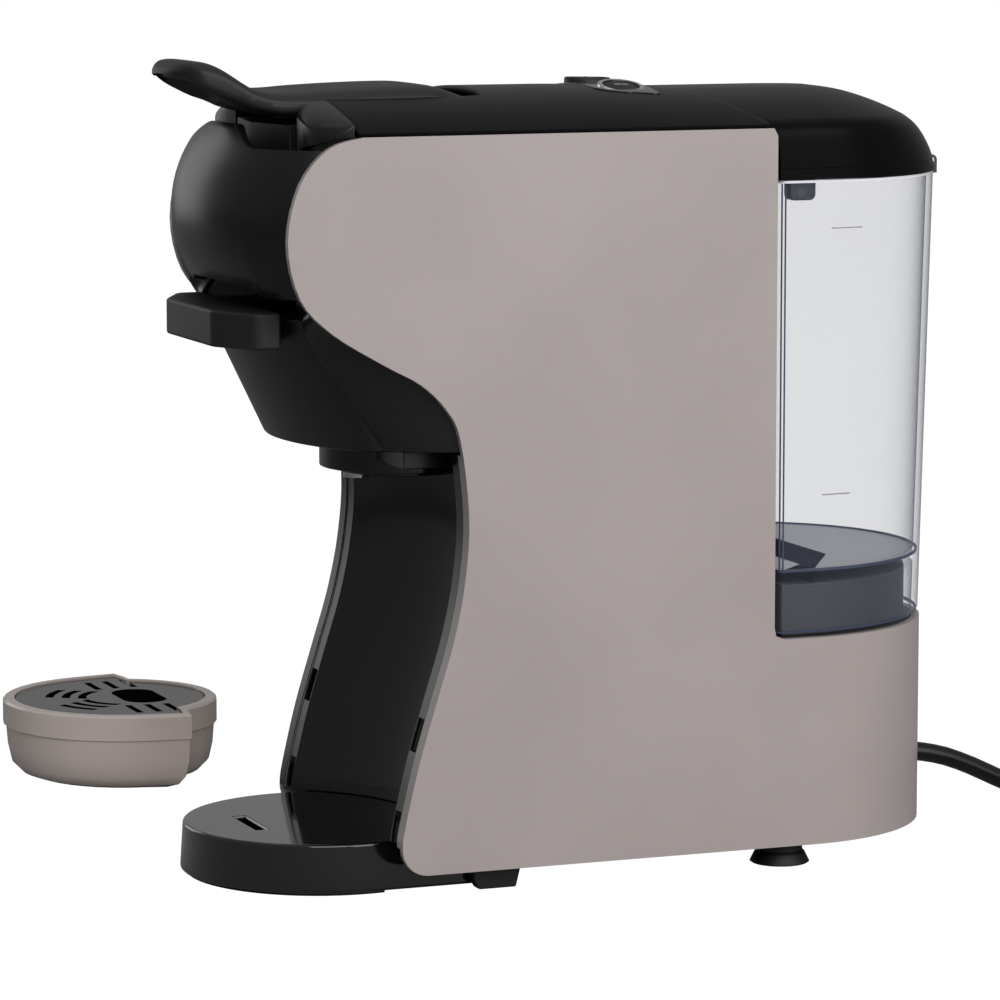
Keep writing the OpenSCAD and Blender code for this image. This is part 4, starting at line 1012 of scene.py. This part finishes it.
tankRings = {  # finish, low, high, distance in from the wall's outside, depth
    "tankRim": ("frost", tank["rim"] - 1.1, tank["rim"] - 0.25, -0.05, 2.3),
    "tankFloorEdge": ("tankEdge", floorTop - 0.1, floorTop + 0.8, 0.9, 0.7),
    "tankFoot": ("tankEdge", tank["low"], tank["low"] + 0.7, 0.4, 0.7),
    "tankFloorPlate": ("frost", floorTop + 0.1, floorTop + 0.4, 2.4, 30),
}
tankDetails = {
    "ribs": [(59.2, 139.3), (57.5, 141.4)], "ribR": 0.3, "ribTop": tank["rim"] - 1.2,
    "levels": [(212.7, 156.8, 168.4), (124.8, 154.1, 164.8)],  # height, front and rear end
    "line": 0.4, "proud": 0.02, "lineWall": 0.2,
}


def makeTankTrim():
    for name, values in tankRings.items():
        tankRing(name, *values)
    ribR, ribTop, line = tankDetails["ribR"], tankDetails["ribTop"], tankDetails["line"]
    wallR = tank["r"] + tankDetails["proud"]
    for count, (x, y) in enumerate(tankDetails["ribs"]):
        profile = [(0.01, floorTop), (ribR, floorTop), (ribR, ribTop), (0.01, ribTop)]
        bm = turned(bmesh.new(), profile, (x, y, 0), 8)
        makePiece(f"tankRib{count}", bm, "tankEdge", body="tank", sharp=60)
    for count, (z, y0, y1) in enumerate(tankDetails["levels"]):
        def onWall(u, v):
            y = y0 + (y1 - y0) * u
            return (sqrt(wallR ** 2 - (y - tankBack(z)) ** 2), y, z + line * v)

        bm = sheet(bmesh.new(), 12, 1, onWall)
        thicken(bm, tankDetails["lineWall"])
        makePiece(f"levelLine{count}", bm, "mark", body="tank", sharp=60)


makeTank()
makeTankTrim()
paintNode("plinth", "tank_valve", "hinge_tab")
nodeCopy("pedestal", "plinth", 0.6)
print("tank made")


# lid
def lidHalf(z):  # upright sides, a small round and then the arch of the top
    half, sag = shape["half"], lid["sag"]
    r, start, end = lid["round"]
    if z < start:
        return half
    if z < end:
        return half - r + sqrt(r * r - (z - start) ** 2)
    archR = (half * half + sag * sag) / (2 * sag)
    return sqrt(max(archR * archR - (archR - shape["crown"] + z) ** 2, 0))


def makeLid():
    count, rows, front, cy = lid["count"], lid["rows"], lid["front"], lid["cy"]
    seam = [tuple(p) for p in splineThrough(lid["seam"], 8)]
    rear = [tuple(p) for p in splineThrough(lid["rear"], 8)]

    def place(k, spot):
        f, inside = spot
        z = lid["low"] + (lid["top"] - lid["low"]) * sin(f * pi / 2)
        hw = lidHalf(z) - inside
        y0, y1 = lookUp(z, seam) + lid["seamGap"] + inside, lookUp(z, rear) - inside
        if k < front:
            return (-hw + 2 * hw * k / (front - 1), y0, z)
        angle = pi * (k - front) / (count - front - 1)
        return (hw * cos(angle), cy + (y1 - cy) * sin(angle), z)

    levels = [(lid["inside"], lid["wall"]), (0, lid["wall"]), (0, 0)]
    levels += list(zip(lid["grooveAt"], (0, lid["groove"], lid["groove"], 0)))
    levels += [(k / rows, 0) for k in range(3, rows + 1)]
    makePiece("lidShell", ringStack(bmesh.new(), count, levels, place), "deckBlack", ("tank_lid",),
              bevel=0.5, sharp=40)


makeLid()
lug = {
    "front": 143, "back": 152.3, "low": 222, "high": 230, "corner": 2, "out": 57.4, "thick": 5,
    "hole": (147, 224.6), "holeR": 1.5, "holeDeep": 0.2,
}


def makeLug(side):  # the plate that hangs from the lid inside the tank
    def upright(bm):  # turns a level plate upright, along the side of the machine
        for vert in bm.verts:
            vert.co = (side * vert.co.z, vert.co.x, vert.co.y)
        bmesh.ops.recalc_face_normals(bm, faces=bm.faces)
        return bm

    r, out, name = lug["corner"], lug["out"], sideName(side)
    front, back, footZ = lug["front"], lug["back"], lug["low"] + r
    outline = arc(front + r, footZ, r, 180, 270) + arc(back - r, footZ, r, 270, 360)
    outline += [(back, lug["high"]), (front, lug["high"])]
    bm = upright(slab(bmesh.new(), outline, out - lug["thick"], out))
    makePiece("lug" + name, bm, "blackSatin", ("lid_lug_" + name,), bevel=0.4, sharp=50)
    holeR, end = lug["holeR"], out + lug["holeDeep"]
    eye = turned(bmesh.new(), [(0.01, out), (holeR, out), (holeR, end), (0.01, end)], (*lug["hole"], 0), 24)
    makePiece("lugEye" + name, upright(eye), "plinth", body="lid", sharp=50)


makeLug(1)
makeLug(-1)
print("lid made")

# drip tray and grid
nodeCopy("drip_tray", "tray", 0.6)
nodeCopy("drip_grid", "blackGloss", 0.6)
print("tray made")
